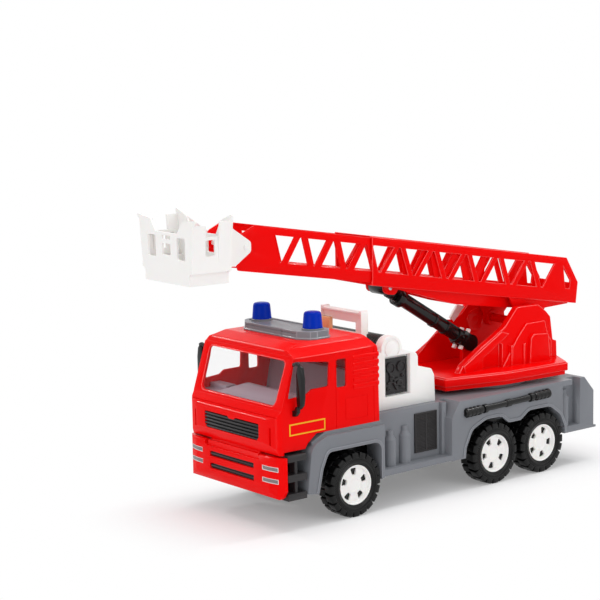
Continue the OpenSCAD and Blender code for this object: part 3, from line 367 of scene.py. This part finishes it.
def gather(first, *rest):
    """Separate closed bodies kept in one mesh."""
    bm = bmesh.new()
    for o in (first,) + rest:
        bm.from_mesh(o.data)
    for o in rest:
        bpy.data.objects.remove(o)
    bm.to_mesh(first.data)
    bm.free()
    return first


def soften(o, width, segments=3, angle=30.0):
    """Rounded edges, whose faces take the piece's second material: a painted highlight along an edge."""
    while len(o.data.materials) < 2:
        o.data.materials.append(None)
    b = o.modifiers.new("edge", "BEVEL")
    b.material = 1
    b.width = width
    b.segments = segments
    b.limit_method = "ANGLE"
    b.angle_limit = math.radians(angle)
    b.use_clamp_overlap = True
    b.miter_outer = "MITER_ARC"
    return settle(o)


def copy_of(o, matrix=None):
    c = bpy.data.objects.new(o.name, o.data.copy())
    scene.collection.objects.link(c)
    if matrix is not None:
        c.data.transform(matrix)
        if matrix.determinant() < 0:
            c.data.flip_normals()
    return c


def shade(o, angle=35.0):
    for p in o.data.polygons:
        p.use_smooth = True
    o.data.set_sharp_from_angle(angle=math.radians(angle))


def piece(o, name, look, body, matrix, stands_for=(), edge=0.0, segments=2, angle=35.0,
          clean=True):
    """Places a finished piece: named, in metres, riding on its body and standing for its CAD nodes."""
    if clean:
        bm = bmesh.new()
        bm.from_mesh(o.data)
        bmesh.ops.remove_doubles(bm, verts=bm.verts, dist=0.002)
        bmesh.ops.dissolve_degenerate(bm, edges=bm.edges, dist=0.002)
        bm.to_mesh(o.data)
        bm.free()
    if edge:
        soften(o, edge, segments)
    o.data.transform(Matrix.Scale(MM, 4) @ matrix)
    if matrix.determinant() < 0:
        o.data.flip_normals()
    o.name = name
    o.data.name = name
    index = [min(1, p.material_index) for p in o.data.polygons]
    o.data.materials.clear()
    o.data.materials.append(look)
    # bevel faces of red and grey pieces take the lighter, glossier edge copy: a painted highlight
    if max(index) > 0 and look.name in PAINTED_GLEAM:
        o.data.materials.append(PAINTED_GLEAM[look.name])
        o.data.polygons.foreach_set("material_index", index)
    shade(o, angle)
    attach(o, body)
    if stands_for:
        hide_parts(*([stands_for] if isinstance(stands_for, str) else stands_for))
    return o


# ---------------------------------------------------------------- wheels
TYRE_R, RIM = 36.0, 22.3
LUGS, HUB_HOLES = 20, 5
HUB_TURN = {"front": 90.0, "mid": 64.0, "rear": 113.0}
AXLE_X = {"front": 0.0, "mid": -214.0, "rear": -292.7}


def wheel_tyre():
    carcass = lathe([
        (62.4, RIM), (62.1, 25.0), (62.5, 29.0), (64.2, 32.4), (67, 33.5), (81, 33.5), (84.0, 32.6),
        (85.2, 30.6), (85.7, 29.0), (85.0, 28.2), (85.3, 26.4), (85.9, 25.6), (85.4, 24.4), (84.6, 23.2),
        (84.4, RIM)
    ], seg=120)
    lugs = []
    for row, turn in ((0, 0.0), (1, 0.5)):
        out = 85.8 if row == 0 else 73.4
        back = 74.6 if row == 0 else 62.2
        if row == 0:
            shape = [(back - 0.6, 33.0), (back, TYRE_R), (out - 1.6, TYRE_R), (out - 0.3, 34.4),
                     (out, 30.2), (out - 1.0, 29.6), (out - 4, 32.0)]
        else:
            shape = [(out + 0.6, 33.0), (out, TYRE_R - 0.3), (back + 1.6, TYRE_R - 0.3), (back + 0.3, 34.4),
                     (back, 30.2), (back + 1.0, 29.6), (back + 4, 32.0)]
        proto = bmesh.new()
        sides = []
        for s in (-1, 1):
            sides.append([proto.verts.new((s * (4.5 - 0.14 * max(0.0, r - 33.0))
                                           + 0.10 * (y - (out + back) / 2) * (1 if row == 0 else -1), y, r))
                          for y, r in shape])
        proto.faces.new(sides[0])
        proto.faces.new(list(reversed(sides[1])))
        for i in range(len(shape)):
            j = (i + 1) % len(shape)
            proto.faces.new((sides[0][i], sides[1][i], sides[1][j], sides[0][j]))
        lug = soften(to_object(proto), 0.8, 3, 25)
        for k in range(LUGS):
            lugs.append(copy_of(lug, Matrix.Rotation((k + turn) * math.tau / LUGS, 4, "Y")))
        bpy.data.objects.remove(lug)
    return gather(carcass, *lugs)


def wheel_hub():
    hub = lathe([
        (63.0, 4.0), (63.0, 6.0), (75.6, 6.4), (75.6, 19.6), (63.0, 20.4), (63.0, RIM), (84.2, RIM),
        (84.9, 21.9), (84.9, 20.9), (84.4, 20.4), (82.0, 19.9), (80.9, 19.0), (80.7, 17.5),
        (81.6, 11.0), (82.4, 9.6), (82.7, 8.9), (82.6, 7.4), (82.0, 6.6), (82.0, 0), (79.2, 0), (79.2, 4.0)
    ], seg=96)
    for k in range(HUB_HOLES):
        t = math.radians(360 / HUB_HOLES * k)
        pts = [(10.9, -2.5), (10.9, 2.5), (17.0, 4.2), (18.4, 3.2), (18.4, -3.2), (17.0, -4.2)]
        turned = [(a * math.cos(t) - b * math.sin(t), a * math.sin(t) + b * math.cos(t)) for a, b in pts]
        cut(hub, prism("y", 74.0, 84.0, turned))
    return hub


def wheels():
    tyre, hub = wheel_tyre(), wheel_hub()
    back = lathe([(78.0, 4.2), (79.0, 4.2), (79.0, 19.2), (78.0, 19.2)], seg=48)
    for axle, x in AXLE_X.items():
        for side, m in (("left", Matrix.Identity(4)), ("right", FLIP)):
            node = axle + "_" + side
            place = TRUCK @ Matrix.Translation((x, 0, TYRE_R)) @ m
            piece(copy_of(tyre), "tyre_" + node + "_v", TYRE, "wheels_" + axle, place, "tyre_" + node,
                  clean=False)
            turn = Matrix.Rotation(-math.radians(HUB_TURN[axle]), 4, "Y")
            piece(copy_of(hub, turn), "hub_" + node + "_v", WHITE, "wheels_" + axle, place, "hub_" + node,
                  edge=0.25)
            piece(copy_of(back), "hub_back_" + node + "_v", BLACK, "wheels_" + axle, place)
    bpy.data.objects.remove(back)
    bpy.data.objects.remove(tyre)
    bpy.data.objects.remove(hub)


wheels()

# ---------------------------------------------------------------- cab
CAB_Y = 79.7
LEAN = 15.4 / 47.0


def screen_x(z):
    return 96.5 - (z - 135.0) * LEAN


def cab_shell():
    profile = rounded([
        (-39.6, 101), (-38.2, 183, 12), (-30, 198.5, 12), (62, 198.5), (80.5, 193), (screen_x(187), 187),
        (97.5, 131.5), (104.8, 122), (104.8, 95), (100, 83.5), (94.4, 83.5), (94.4, 86.5), (66, 86.5),
        (62, 92), (50, 101)], 8)
    section = [(CAB_Y, 80), (CAB_Y, 186), (68, 194.5), (64, 199.5), (-64, 199.5), (-68, 194.5),
               (-CAB_Y, 186), (-CAB_Y, 80)]
    plan = rounded([(-50, -CAB_Y), (97, -CAB_Y, 2.5), (102.6, 3 - CAB_Y, 3), (104.9, -62), (104.9, 62),
                    (102.6, CAB_Y - 3, 3), (97, CAB_Y, 2.5), (-50, CAB_Y)], 4)
    shell = common(prism("y", -90, 90, profile), prism("x", -60, 120, section), prism("z", 70, 210, plan))
    soften(shell, 2.0, 4, 12)
    wall = 2.5
    cut(shell,
        prism("y", wall - CAB_Y, CAB_Y - wall, [
            (-37.1, 80), (-36.1, 182), (screen_x(182) - 3.2, 182), (screen_x(131) - 3.2, 131), (94.5, 126),
            (94.5, 80)]),
        prism("y", -60, 60, [(-30, 180), (-26, 195.5), (60, 195.5), (73, 180)]),
        prism("x", 60, 120, rounded([(66.5, 135, 6.5), (68, 182, 5), (-68, 182, 5), (-66.5, 135, 6.5)], 6)),
        prism("y", -90, 90, rounded([(30.8, 176.5, 2), (32.3, 149.8, 2), (55.6, 149.6, 5), (62, 145.2, 5),
                                     (88.3, 142.9, 2), (78.8, 182.5, 2)], 5)),
        prism("y", -90, 90, rounded([(7.2, 146.5, 2), (21, 146.5, 2), (21, 177.5, 2), (7.2, 177.5, 2)], 4)))
    soften(shell, 0.45, 2, 50)
    cut(shell, prism("x", 100.8, 110, rounded([
        (-49, 100, 2), (-45.5, 96, 2), (45.5, 96, 2), (49, 100, 2), (49, 114.5, 1.2), (7, 114.5),
        (4.5, 112.2, 2), (-4.5, 112.2, 2), (-7, 114.5), (-49, 114.5, 1.2)], 3)))
    cut(shell, box(101.6, 110, -90, 90, 124.4, 125.4))
    for s in (1, -1):
        def flank(x0, x1, z0, z1, y0, y1=90):
            return box(x0, x1, *sorted((s * y0, s * y1)), z0, z1)
        cut(shell, flank(101.8, 110, 94, 113, 66.4, 69),
            flank(21.7, 22.4, 102.7, 178, CAB_Y - 0.6), flank(-32.4, -31.7, 102.7, 184, CAB_Y - 0.5),
            flank(-22.5, 9, 109, 109.7, CAB_Y - 0.45), flank(-22.5, 9, 132.8, 133.5, CAB_Y - 0.45),
            flank(-22.5, -21.8, 109, 133.5, CAB_Y - 0.45), flank(8.3, 9, 109, 133.5, CAB_Y - 0.45))
    return shell


piece(cab_shell(), "cab_shell_v", RED, "truck", TRUCK, "cab_shell", angle=30)


def cab_ribs():
    parts = []
    for s in (1, -1):
        for i in range(5):
            z = 144 + i * 8
            pts = [(CAB_Y - 1, z - 3.4), (CAB_Y + 0.1, z - 2.4), (CAB_Y + 0.95, z - 0.9),
                   (CAB_Y + 1.0, z + 1.0), (CAB_Y + 0.5, z + 2.4), (CAB_Y - 1, z + 2.9)]
            parts.append(prism("x", -39.2, -2.5, [(s * a, b) for a, b in pts]))
    return gather(*parts)


piece(cab_ribs(), "cab_ribs_v", RED, "truck", TRUCK, angle=60)


def bar(a, b, r):
    """A thin round bar from point a to point b."""
    a, b = Vector(a), Vector(b)
    o = lathe([(0, 0), (0, r), ((b - a).length, r), ((b - a).length, 0)], "z", seg=10)
    o.data.transform(Matrix.Translation(a) @ (b - a).to_track_quat("Z", "Y").to_matrix().to_4x4())
    return o


def cab_highlight_beads():
    """Thin raised bars in the lighter, glossier edge red: painted highlight lines round the windscreen, along
    the roof's edges and over the lower front.
    """
    rim = rounded([(67.2, 134.3, 6.5), (68.8, 182.8, 5), (-68.8, 182.8, 5), (-67.2, 134.3, 6.5)], 5)
    rim = [(screen_x(z) - 0.25, y, z) for y, z in rim]
    parts = [bar(a, b, 0.5) for a, b in zip(rim, rim[1:] + rim[:1])]
    parts.append(bar((80.1, -65, 192.5), (80.1, 65, 192.5), 0.8))
    parts.append(bar((104.4, -62, 121.8), (104.4, 62, 121.8), 0.6))
    for s in (1, -1):
        parts.append(bar((-28, s * 79.4, 185.6), (77, s * 79.4, 185.6), 0.5))
        parts.append(bar((-24, s * 67.8, 194.3), (62, s * 67.8, 194.3), 0.6))
    return gather(*parts)


# the bars wear the lighter edge copy of the red: painted highlight lines
piece(cab_highlight_beads(), "cab_highlight_beads_v", HIGHLIGHT_EDGES["red_plastic"], "truck", TRUCK, angle=60)


BEACON_Y = 45.3


def beacon(name, y):
    o = lathe([(0, 0), (0, 11.1), (1.0, 11.1), (1.4, 10.9), (14.6, 9.75), (16.4, 9.2), (17.5, 8.0),
               (18.0, 6.0), (18.2, 3.0), (18.2, 0)], "z", (25, y, 209), 64)
    piece(o, name + "_v", BLUE, "truck", TRUCK, name, angle=50)


beacon("beacon_left", BEACON_Y)
beacon("beacon_right", -BEACON_Y)


def light_bar():
    def plan(g):
        half = [(9 - g, 54 + g), (17 - g, 62 + g), (32 + g, 62 + g), (39.3 + g, 59 + g), (48.3 + g, 46.5 + g)]
        return [(x, -y) for x, y in half] + list(reversed(half))
    o = fuse(prism("z", 198.3, 207.6, plan(0)), prism("z", 198.3, 200.2, plan(0.9)))
    soften(o, 1.0, 3, 20)
    cut(o, prism("z", 207.0, 209, rounded([(x * 0.78 + 6.0, y * 0.92, 2) for x, y in plan(0)], 3)))
    for y in (BEACON_Y, -BEACON_Y):
        fuse(o, lathe([(206, 0), (206, 12.3), (208.4, 12.3), (208.9, 11.9), (208.9, 0)], "z", (25, y, 0), 64))
    cut(o, box(47.6, 60, -45, 20.2, 204.2, 205.0), box(47.4, 60, 20.2, 20.9, 199, 208),
        box(47.6, 60, 20.9, 45, 204.2, 205.0))
    piece(o, "light_bar_v", GREY, "truck", TRUCK, "light_bar", edge=0.25)


light_bar()


def mirror(flip):
    pad = soften(prism("x", 75.6, 81.2, [
        (85.2, 133.6), (88.2, 131.7), (93.4, 137), (95, 146), (95, 166), (93.2, 176.5), (90, 180),
        (86, 178.5), (84.4, 170), (84.2, 144)]), 1.7, 4, 10)
    low = soften(prism("x", 78.4, 82.8, [
        (79.2, 124), (79.2, 130.5), (83.5, 131), (84.6, 135.5), (89, 135.8), (88.6, 129), (84.6, 124.6)]),
        0.9, 3, 20)
    high = soften(prism("x", 78.2, 81.6, [
        (79.2, 177.6), (79.2, 181.4), (86.4, 183.2), (90.4, 181.4), (89.6, 177.5), (86.4, 179.6)]),
        0.8, 3, 20)
    name = "mirror_right" if flip else "mirror_left"
    piece(gather(pad, low, high), name + "_v", BLACK, "truck", on_side(flip), name, angle=40)


mirror(False)
mirror(True)


# ---------------------------------------------------------------- body fittings
def nozzle(flip):
    length, grip = 139.5, 26.0
    prof = [(0, 0), (0, 3.4), (0.7, 4.4)]
    for i in range(4):
        t = 1.4 + i * 6.2
        prof += [(t, 4.8), (t + 0.5, 5.6), (t + 3.4, 5.6), (t + 3.9, 4.8)]
    prof += [(grip, 4.7), (grip + 0.4, 3.7), (grip + 3, 3.7), (grip + 3.3, 5.2), (grip + 8, 5.2),
             (grip + 8.3, 3.7), (length / 2 - 4, 3.6), (length / 2 - 3.6, 4.5)]
    prof += [(length - t, r) for t, r in reversed(prof)]
    o = lathe(prof, "x", (0, 0, 0), 48)
    tilt = Matrix.Rotation(math.radians(1.7), 4, "Y")
    o.data.transform(Matrix.Translation((-163.8, 86.5, 91.5)) @ tilt @ Matrix.Scale(-1, 4, (1, 0, 0)))
    o.data.flip_normals()
    clip = [rod("y", 80, 86, x, z, 3.0, 24) for x, z in ((-200, 92.6), (-272, 94.7))]
    name = "nozzle_right" if flip else "nozzle_left"
    piece(gather(o, *clip), name + "_v", BLACK, "truck", on_side(flip), name)


def louvre(flip):
    o = prism("y", 69.9, 72, [(-133.5, 52.5), (-133.5, 98), (-100, 98), (-100, 52.5)])
    cut(o, box(-132, -117.5, 71.2, 73, 54, 96.6), box(-116, -101.5, 71.2, 73, 54, 96.6))
    slats = []
    slat_count = 24
    for i in range(slat_count):
        z = 54.2 + i * 42.2 / slat_count
        for a, b in ((-132, -117.5), (-116, -101.5)):
            slats.append(prism("x", a, b, [(71.0, z), (72.0, z + 0.15), (72.0, z + 0.75), (71.0, z + 1.35)]))
    name = "louvre_right" if flip else "louvre_left"
    piece(gather(o, *slats), name + "_v", DARK, "truck", on_side(flip), name, clean=False)


def panel(flip):
    y0 = 53.0
    o = soften(box(-102, -67, y0, y0 + 4, 121.5, 162.5), 0.8, 3)
    cut(o, prism("y", y0 + 3.4, y0 + 5, rounded([
        (-100, 123.5, 1.5), (-69, 123.5, 1.5), (-69, 160.5, 1.5), (-100, 160.5, 1.5)], 3)))
    parts = []
    for x in (-92.5, -76.5):
        dial = [(3, 0), (3, 6.2), (5.1, 6.2), (5.5, 5.8), (5.5, 5.1), (4.4, 4.7), (4.4, 0)]
        parts.append(lathe([(y0 + t, r) for t, r in dial], "y", (x, 0, 152), 40))
        parts.append(prism("y", y0 + 4, y0 + 5.0, [
            (x - 2.8, 149.6), (x + 3.2, 154.0), (x + 2.2, 154.8), (x - 3.2, 150.6)]))
    for x, z, r in ((-90, 133, 4.6), (-78.5, 139.5, 3.6), (-94.5, 141.5, 2.2), (-73, 128, 2.4)):
        knob = [(3, 0), (3, r), (5.0, r), (5.6, r - 0.7), (5.6, r * 0.45), (4.9, r * 0.35), (4.9, 0)]
        parts.append(lathe([(y0 + t, a) for t, a in knob], "y", (x, 0, z), 32))
    for a, b in (((-86, 126.5), (-75, 146.5)), ((-97, 127), (-84, 131.5)), ((-88.5, 139), (-72.5, 134.5))):
        d = (Vector(b) - Vector(a)).normalized() * 1.5
        q = Vector((-d.y, d.x))
        a, b = Vector(a), Vector(b)
        pts = [a - q, b - q, b + d * 0.6, b + q, a + q, a - d * 0.6]
        parts.append(soften(prism("y", y0 + 3, y0 + 5.6, [tuple(v) for v in pts]), 0.6, 2))
    name = "panel_right" if flip else "panel_left"
    piece(gather(o, *parts), name + "_v", DARK, "truck", on_side(flip), name, clean=False)


for f in (False, True):
    nozzle(f)
    louvre(f)
    panel(f)


def ladder_rest():
    """The ladder rest: a web with a rim round it, and side flanges above the hose reel."""
    half, low, top = 35.7, 166.0, 214.6
    outer = [(-half, low), (-half, top + 2), (3.5 - half, top + 2), (5 - half, top), (half - 5, top),
             (half - 3.5, top + 2), (half, top + 2), (half, low)]
    inner = [(1.6 - half, 170), (1.6 - half, top - 2.4), (half - 1.6, top - 2.4), (half - 1.6, 170)]
    o = prism("x", -63.0, -52.8, outer)
    window = rounded([(-20.7, 191, 1), (21.5, 191, 1), (21.5, 202, 1), (-20.7, 202, 1)], 4)
    cut(o, prism("x", -56.4, -50, inner), prism("x", -70, -58.0, inner),
        box(-70, -60.7, -42, 42, 160, 190), prism("x", -70, -50, window))
    piece(o, "ladder_rest_v", MILK, "truck", TRUCK, "ladder_rest", edge=0.35)
    marker = soften(box(-57.6, -52.0, -33.6, -19.6, 190.0, 204.0), 0.8)
    piece(marker, "rest_marker_v", AMBER, "truck", TRUCK)


ladder_rest()


# ---------------------------------------------------------------- turntable and towers
DECK_TOP, CHEEK_IN, CHEEK_OUT = 127.0, 37.0, 46.0
CHEEK_FOOT = 126.5      # the cheeks start inside the deck
RAM_X, RAM_Z, RAM_TILT = 14.0, 152.8, math.radians(31.63)
RAM = TURRET @ Matrix.Translation((RAM_X, 0, RAM_Z)) @ Matrix.Rotation(-RAM_TILT, 4, "Y")


def turntable_deck():
    plan = rounded([(97.3, -56.9, 2), (97.3, 56.9, 2), (16.8, 74, 4), (-84, 74, 4), (-110, 26, 3),
                    (-110, -26, 3), (-84, -74, 4), (16.8, -74, 4)], 4)
    parts = [rod("z", 92, 112, 0, 0, 16.0, 64)]
    for z0, z1, a, b, edge in ((111, 116.2, 0.975, 0.965, 0.6), (116, 125.4, 1.0, 1.0, 0.9),
                               (125, DECK_TOP, 0.985, 0.98, 0.8)):
        parts.append(soften(prism("z", z0, z1, [(x * a, y * b) for x, y in plan]), edge, 3, 30))
    lug = rounded([(RAM_X - 20, DECK_TOP - 1), (RAM_X - 8, RAM_Z + 8, 7), (RAM_X + 8, RAM_Z + 8, 7),
                   (RAM_X + 9, DECK_TOP - 1)], 6)
    parts.append(soften(prism("y", -3, 3, lug), 0.5, 2, 40))
    piece(gather(*parts), "turntable_deck_v", RED, "turntable", TURRET, "turntable_deck",
          angle=30, clean=False)


turntable_deck()


def tower(flip):
    rear = [(-61.4, 195.8, 6), (-74.1, 186.4, 3), (-81.3, 179, 2), (-85.5, 150.3, 2), (-91.6, 148.4, 2),
            (-92.5, CHEEK_FOOT)]
    main = [(66, CHEEK_FOOT), (60.6, 135.3), (33.3, 152.6, 20), (9.2, 165.4, 20), (-6.5, 174.1, 3),
            (-26.7, 196.2, 4)] + rear
    raised = [(0, CHEEK_FOOT), (-24, 160, 6), (-38.5, 175.3, 3), (-69, 176, 2), (-74, 158, 3),
              (-80, 150, 2), (-80, CHEEK_FOOT)]
    locker = [(-40, CHEEK_FOOT), (-42, 158, 3), (-47, 162.3, 3), (-70.5, 160.5, 2), (-74, CHEEK_FOOT)]
    rib = [(58, CHEEK_FOOT), (60.6, 135.3), (0.5, 170), (-12, 166), (34, 139), (45, CHEEK_FOOT)]
    foot = [(28, 126), (28, 140), (3, 156), (-2, 154), (-2, 126)]
    body = prism("y", CHEEK_IN, CHEEK_OUT, rounded(main, 4))
    body = soften(cut(body, prism("y", CHEEK_IN + 3, CHEEK_OUT + 1, foot)), 0.9, 3, 30)
    layers = [(raised, CHEEK_OUT - 1, CHEEK_OUT + 3.5), (locker, CHEEK_OUT - 1, CHEEK_OUT + 8),
              (rib, CHEEK_OUT - 2, CHEEK_OUT + 2.5)]
    for x in (-12, -32):
        post = [(x, CHEEK_FOOT), (x, 152), (x - 3, 152), (x - 3, CHEEK_FOOT)]
        layers.append((post, CHEEK_OUT - 1, CHEEK_OUT + 6))
    if flip:
        wing = [(66, CHEEK_FOOT), (60, 128), (60, 138), (12, 175.3), (-1, 174), (-26.7, 190),
                (-40, 150), (-20, CHEEK_FOOT)]
        layers.append((wing, CHEEK_IN + 0.01, CHEEK_IN + 3))
    parts = [soften(prism("y", y0, y1, rounded(shape, 4)), 0.9, 3, 30) for shape, y0, y1 in layers]
    name = "tower_right" if flip else "tower_left"
    piece(gather(body, *parts), name + "_v", RED, "turntable", on_side(flip, TURRET), name,
          angle=30, clean=False)


tower(False)
tower(True)


def ram_glint_plates():
    """Pale plates behind the cylinder's foot, split round the lug it turns on: a painted highlight where the
    dark foot shines.
    """
    parts = [box(8.4, 11.6, *sorted((s * 3.4, s * 8.6)), -13.6, 13.6) for s in (1, -1)]
    piece(gather(*parts), "ram_glint_plates_v", MILK, "ram_barrel", RAM, edge=0.5)


ram_glint_plates()


def cheek_tab():
    """The pale tab with a rim and ribs on the front top of the right-hand cheek."""
    outline = [(2.4, 171.6), (7.6, 177.4), (-4.4, 192.6), (-15.6, 189.0)]
    middle = Vector((-2.5, 182.6))
    field = [tuple(middle + (Vector(p) - middle) * 0.72) for p in outline]
    o = soften(prism("y", -40.4, -36.4, outline), 0.5, 2)
    cut(o, prism("y", -36.9, -35, field))
    low = Vector(field[0]).lerp(Vector(field[1]), 0.5)
    high = Vector(field[3]).lerp(Vector(field[2]), 0.5)
    across = (Vector(field[1]) - Vector(field[0])).normalized()
    ribs = []
    for k in range(4):
        c = low.lerp(high, (k + 0.7) / 4.4)
        d = (high - low).normalized() * 0.55
        ribs.append(prism("y", -37.4, -36.5, [tuple(c - across * 3 - d), tuple(c + across * 3 - d),
                                              tuple(c + across * 3 + d), tuple(c - across * 3 + d)]))
    piece(gather(o, *ribs), "cheek_tab_v", MILK, "turntable", TURRET)


cheek_tab()


def cheek_boss():
    """The round boss inside the right-hand cheek, round the ladder's pivot pin."""
    o = lathe([(-37.3, 5.6), (-37.3, 15.0), (-35.9, 14.4), (-35.9, 11.6), (-36.5, 11.2), (-36.5, 5.6)], "y",
              (-33, 0, 170), 64)
    piece(o, "cheek_boss_v", RED, "turntable", TURRET, edge=0.2)


cheek_boss()


def plate_fields():
    """The plain red field inside each plate's yellow border."""
    parts = [box(39.6, 85.7, *sorted((s * 79.9, s * 80.14)), 104.8, 114.4) for s in (1, -1)]
    return gather(*parts)


piece(plate_fields(), "plate_fields_v", RED, "truck", TRUCK)


# pale frames round each lamp lens: a painted highlight along the lens edges
def lamp_rim_highlights():
    parts = []
    for z0, z1 in ((66, 71.5), (53, 58.5)):
        for s in (1, -1):
            o = prism("z", z0, z1, [(x, s * y) for x, y in
                                    ((101, 54), (105.0, 54), (104.7, 66), (102.4, 77), (101.9, 78.5),
                                     (101, 78.5))])
            cut(o, box(100, 110, *sorted((s * 55.0, s * 77.6)), z0 + 0.9, z1 - 0.9))
            parts.append(o)
    return gather(*parts)


piece(lamp_rim_highlights(), "lamp_rim_highlights_v", PAINTED_LAMP_RIM, "truck", TRUCK, edge=0.2)

FRONT_ARCH = [(-37.4, 37), (-37.4, 79, 9), (38, 79, 8), (46, 62, 6), (52, 36)]
REAR_ARCH = [(-166, 40), (-167, 50, 12), (-177, 70, 14), (-199, 79, 20), (-224, 79, 14), (-236, 69.5, 8),
             (-256, 69.5, 8), (-270, 79, 14), (-306, 79, 20), (-324, 66, 16), (-331.5, 50, 12), (-331.5, 42)]


def open_path(pts, n=6):
    """rounded() for a line that isn't closed: its two ends stay sharp."""
    return rounded([pts[0][:2]] + list(pts[1:-1]) + [pts[-1][:2]], n)


def strip(path, width):
    """The closed outline of a band of one width along a path, on its left-hand side."""
    out = []
    for i, p in enumerate(path):
        a, b = Vector(path[max(0, i - 1)]), Vector(path[min(len(path) - 1, i + 1)])
        d = (b - a).normalized()
        out.append((p[0] - d.y * width, p[1] + d.x * width))
    return list(path) + list(reversed(out))


def arch_lips():
    parts = []
    for pts, way in ((FRONT_ARCH, 1), (REAR_ARCH, -1)):
        line = open_path(pts)
        band = strip(line if way > 0 else list(reversed(line)), 3.6)
        for y0, y1 in ((84.4, 85.9), (-85.9, -84.4)):
            parts.append(soften(prism("y", y0, y1, band), 0.5, 2, 40))
    return gather(*parts)


piece(arch_lips(), "arch_lips_v", GREY, "truck", TRUCK, angle=30)


def step_backs():
    parts = []
    for s in (1, -1):
        for z0, z1 in ((63, 75.5), (42.5, 54)):
            y = sorted((s * 64.0, s * 66.5))
            parts.append(box(68.6, 92.8, y[0], y[1], z0, z1))
            parts.append(box(79, 82, *sorted((s * 64, s * 72)), z0, z1))
    return gather(*parts)


piece(step_backs(), "step_backs_v", GREY, "truck", TRUCK, edge=0.3)

# ---------------------------------------------------------------- camera, floor and light
LENS = 105.141         # mm, on a sensor of 36 mm
AZ, EL, ROLL = math.radians(51.430), math.radians(8.635), math.radians(-1.0752)
EYE = Vector(((1206.6 + FRONT) * MM, 1505.9 * MM, 524.7 * MM))
cam_z = Vector((math.cos(AZ) * math.cos(EL), math.sin(AZ) * math.cos(EL), math.sin(EL)))
level = (-cam_z).cross(Vector((0, 0, 1))).normalized()
upright = level.cross(-cam_z)
cam_x = level * math.cos(ROLL) + upright * math.sin(ROLL)
cam_y = upright * math.cos(ROLL) - level * math.sin(ROLL)
cam_data = bpy.data.cameras.new("camera")
cam_data.sensor_width = 36.0
cam_data.lens = LENS
cam_data.clip_end = 50.0
camera = bpy.data.objects.new("camera", cam_data)
scene.collection.objects.link(camera)
turn = Matrix((cam_x, cam_y, cam_z)).transposed()
camera.matrix_world = Matrix.Translation(EYE) @ turn.to_4x4()
scene.camera = camera


def seen_directly(nt):
    """1 for camera, glossy and transmission rays, 0 for the rays that light the object."""
    path = nt.nodes.new("ShaderNodeLightPath")
    out = path.outputs["Is Camera Ray"]
    for other in ("Is Glossy Ray", "Is Transmission Ray"):
        m = nt.nodes.new("ShaderNodeMath")
        m.operation = "MAXIMUM"
        nt.links.new(out, m.inputs[0])
        nt.links.new(path.outputs[other], m.inputs[1])
        out = m.outputs[0]
    return out


FLOOR_HALF = (0.250, 0.065, 1.0)    # the floor under the truck, in metres each way from its middle
FLOOR_FADE = 0.12                   # metres from there to plain white
FLOOR_GLOW = 0.20                   # how much plain white shows under the truck
AMBIENT = 0.62                      # the sky's light on the object; it looks plain white itself


def floor():
    bm = bmesh.new()
    bmesh.ops.create_grid(bm, x_segments=4, y_segments=4, size=6.0)
    o = to_object(bm, "floor")
    mat = bpy.data.materials.new("floor_white")
    nt, bsdf = nodes_of(mat)
    new, link = nt.nodes.new, nt.links.new
    bsdf.inputs["Base Color"].default_value = (0.93, 0.93, 0.94, 1.0)
    bsdf.inputs["Roughness"].default_value = 0.9
    bsdf.inputs["Specular IOR Level"].default_value = 0.0
    co = new("ShaderNodeTexCoord")
    side = new("ShaderNodeVectorMath")
    side.operation = "ABSOLUTE"
    link(co.outputs["Object"], side.inputs[0])
    past = new("ShaderNodeVectorMath")
    past.operation = "SUBTRACT"
    past.inputs[1].default_value = FLOOR_HALF
    link(side.outputs[0], past.inputs[0])
    out = new("ShaderNodeVectorMath")
    out.operation = "MAXIMUM"
    link(past.outputs[0], out.inputs[0])
    far = new("ShaderNodeVectorMath")
    far.operation = "LENGTH"
    link(out.outputs[0], far.inputs[0])
    fade = new("ShaderNodeMapRange")
    fade.interpolation_type = "SMOOTHSTEP"
    fade.inputs["From Max"].default_value = FLOOR_FADE
    fade.inputs["To Min"].default_value = FLOOR_GLOW
    link(far.outputs["Value"], fade.inputs["Value"])
    both = new("ShaderNodeMath")
    both.operation = "MULTIPLY"
    link(fade.outputs[0], both.inputs[0])
    link(seen_directly(nt), both.inputs[1])
    glow = new("ShaderNodeEmission")
    glow.inputs["Strength"].default_value = 1.0
    mix = new("ShaderNodeMixShader")
    link(both.outputs[0], mix.inputs[0])
    link(bsdf.outputs[0], mix.inputs[1])
    link(glow.outputs[0], mix.inputs[2])
    link(mix.outputs[0], nt.nodes["Material Output"].inputs["Surface"])
    o.data.materials.append(mat)


floor()


def studio():
    world = bpy.data.worlds.new("studio")
    scene.world = world
    world.use_nodes = True
    nt = world.node_tree
    bg = nt.nodes["Background"]
    bg.inputs["Color"].default_value = (1.0, 1.0, 1.0, 1.0)
    level = nt.nodes.new("ShaderNodeMapRange")
    level.inputs["To Min"].default_value = AMBIENT
    level.inputs["To Max"].default_value = 1.0
    nt.links.new(seen_directly(nt), level.inputs["Value"])
    nt.links.new(level.outputs[0], bg.inputs["Strength"])


studio()


def area(name, loc, target, size, power):
    d = bpy.data.lights.new(name, "AREA")
    d.energy = power
    d.size = size
    o = bpy.data.objects.new(name, d)
    scene.collection.objects.link(o)
    o.location = loc
    o.rotation_euler = (Vector(target) - Vector(loc)).to_track_quat("-Z", "Y").to_euler()
    return o


area("key_top", (-0.2, 0.0, 1.8), (0.0, 0.0, 0.1), 0.9, 8.0)
area("rim_rear", (-1.24, 0.30, 1.70), (0.0, 0.0, 0.2), 0.24, 6.0)
area("rim_right", (0.50, -1.70, 1.25), (0.1, 0.0, 0.15), 0.24, 6.0)
area("fill_front", (1.8, 0.5, 1.0), (0.0, 0.0, 0.15), 1.0, 7.0)
area("fill_side", (-0.2, 2.0, 0.9), (0.0, 0.0, 0.15), 1.2, 7.5)
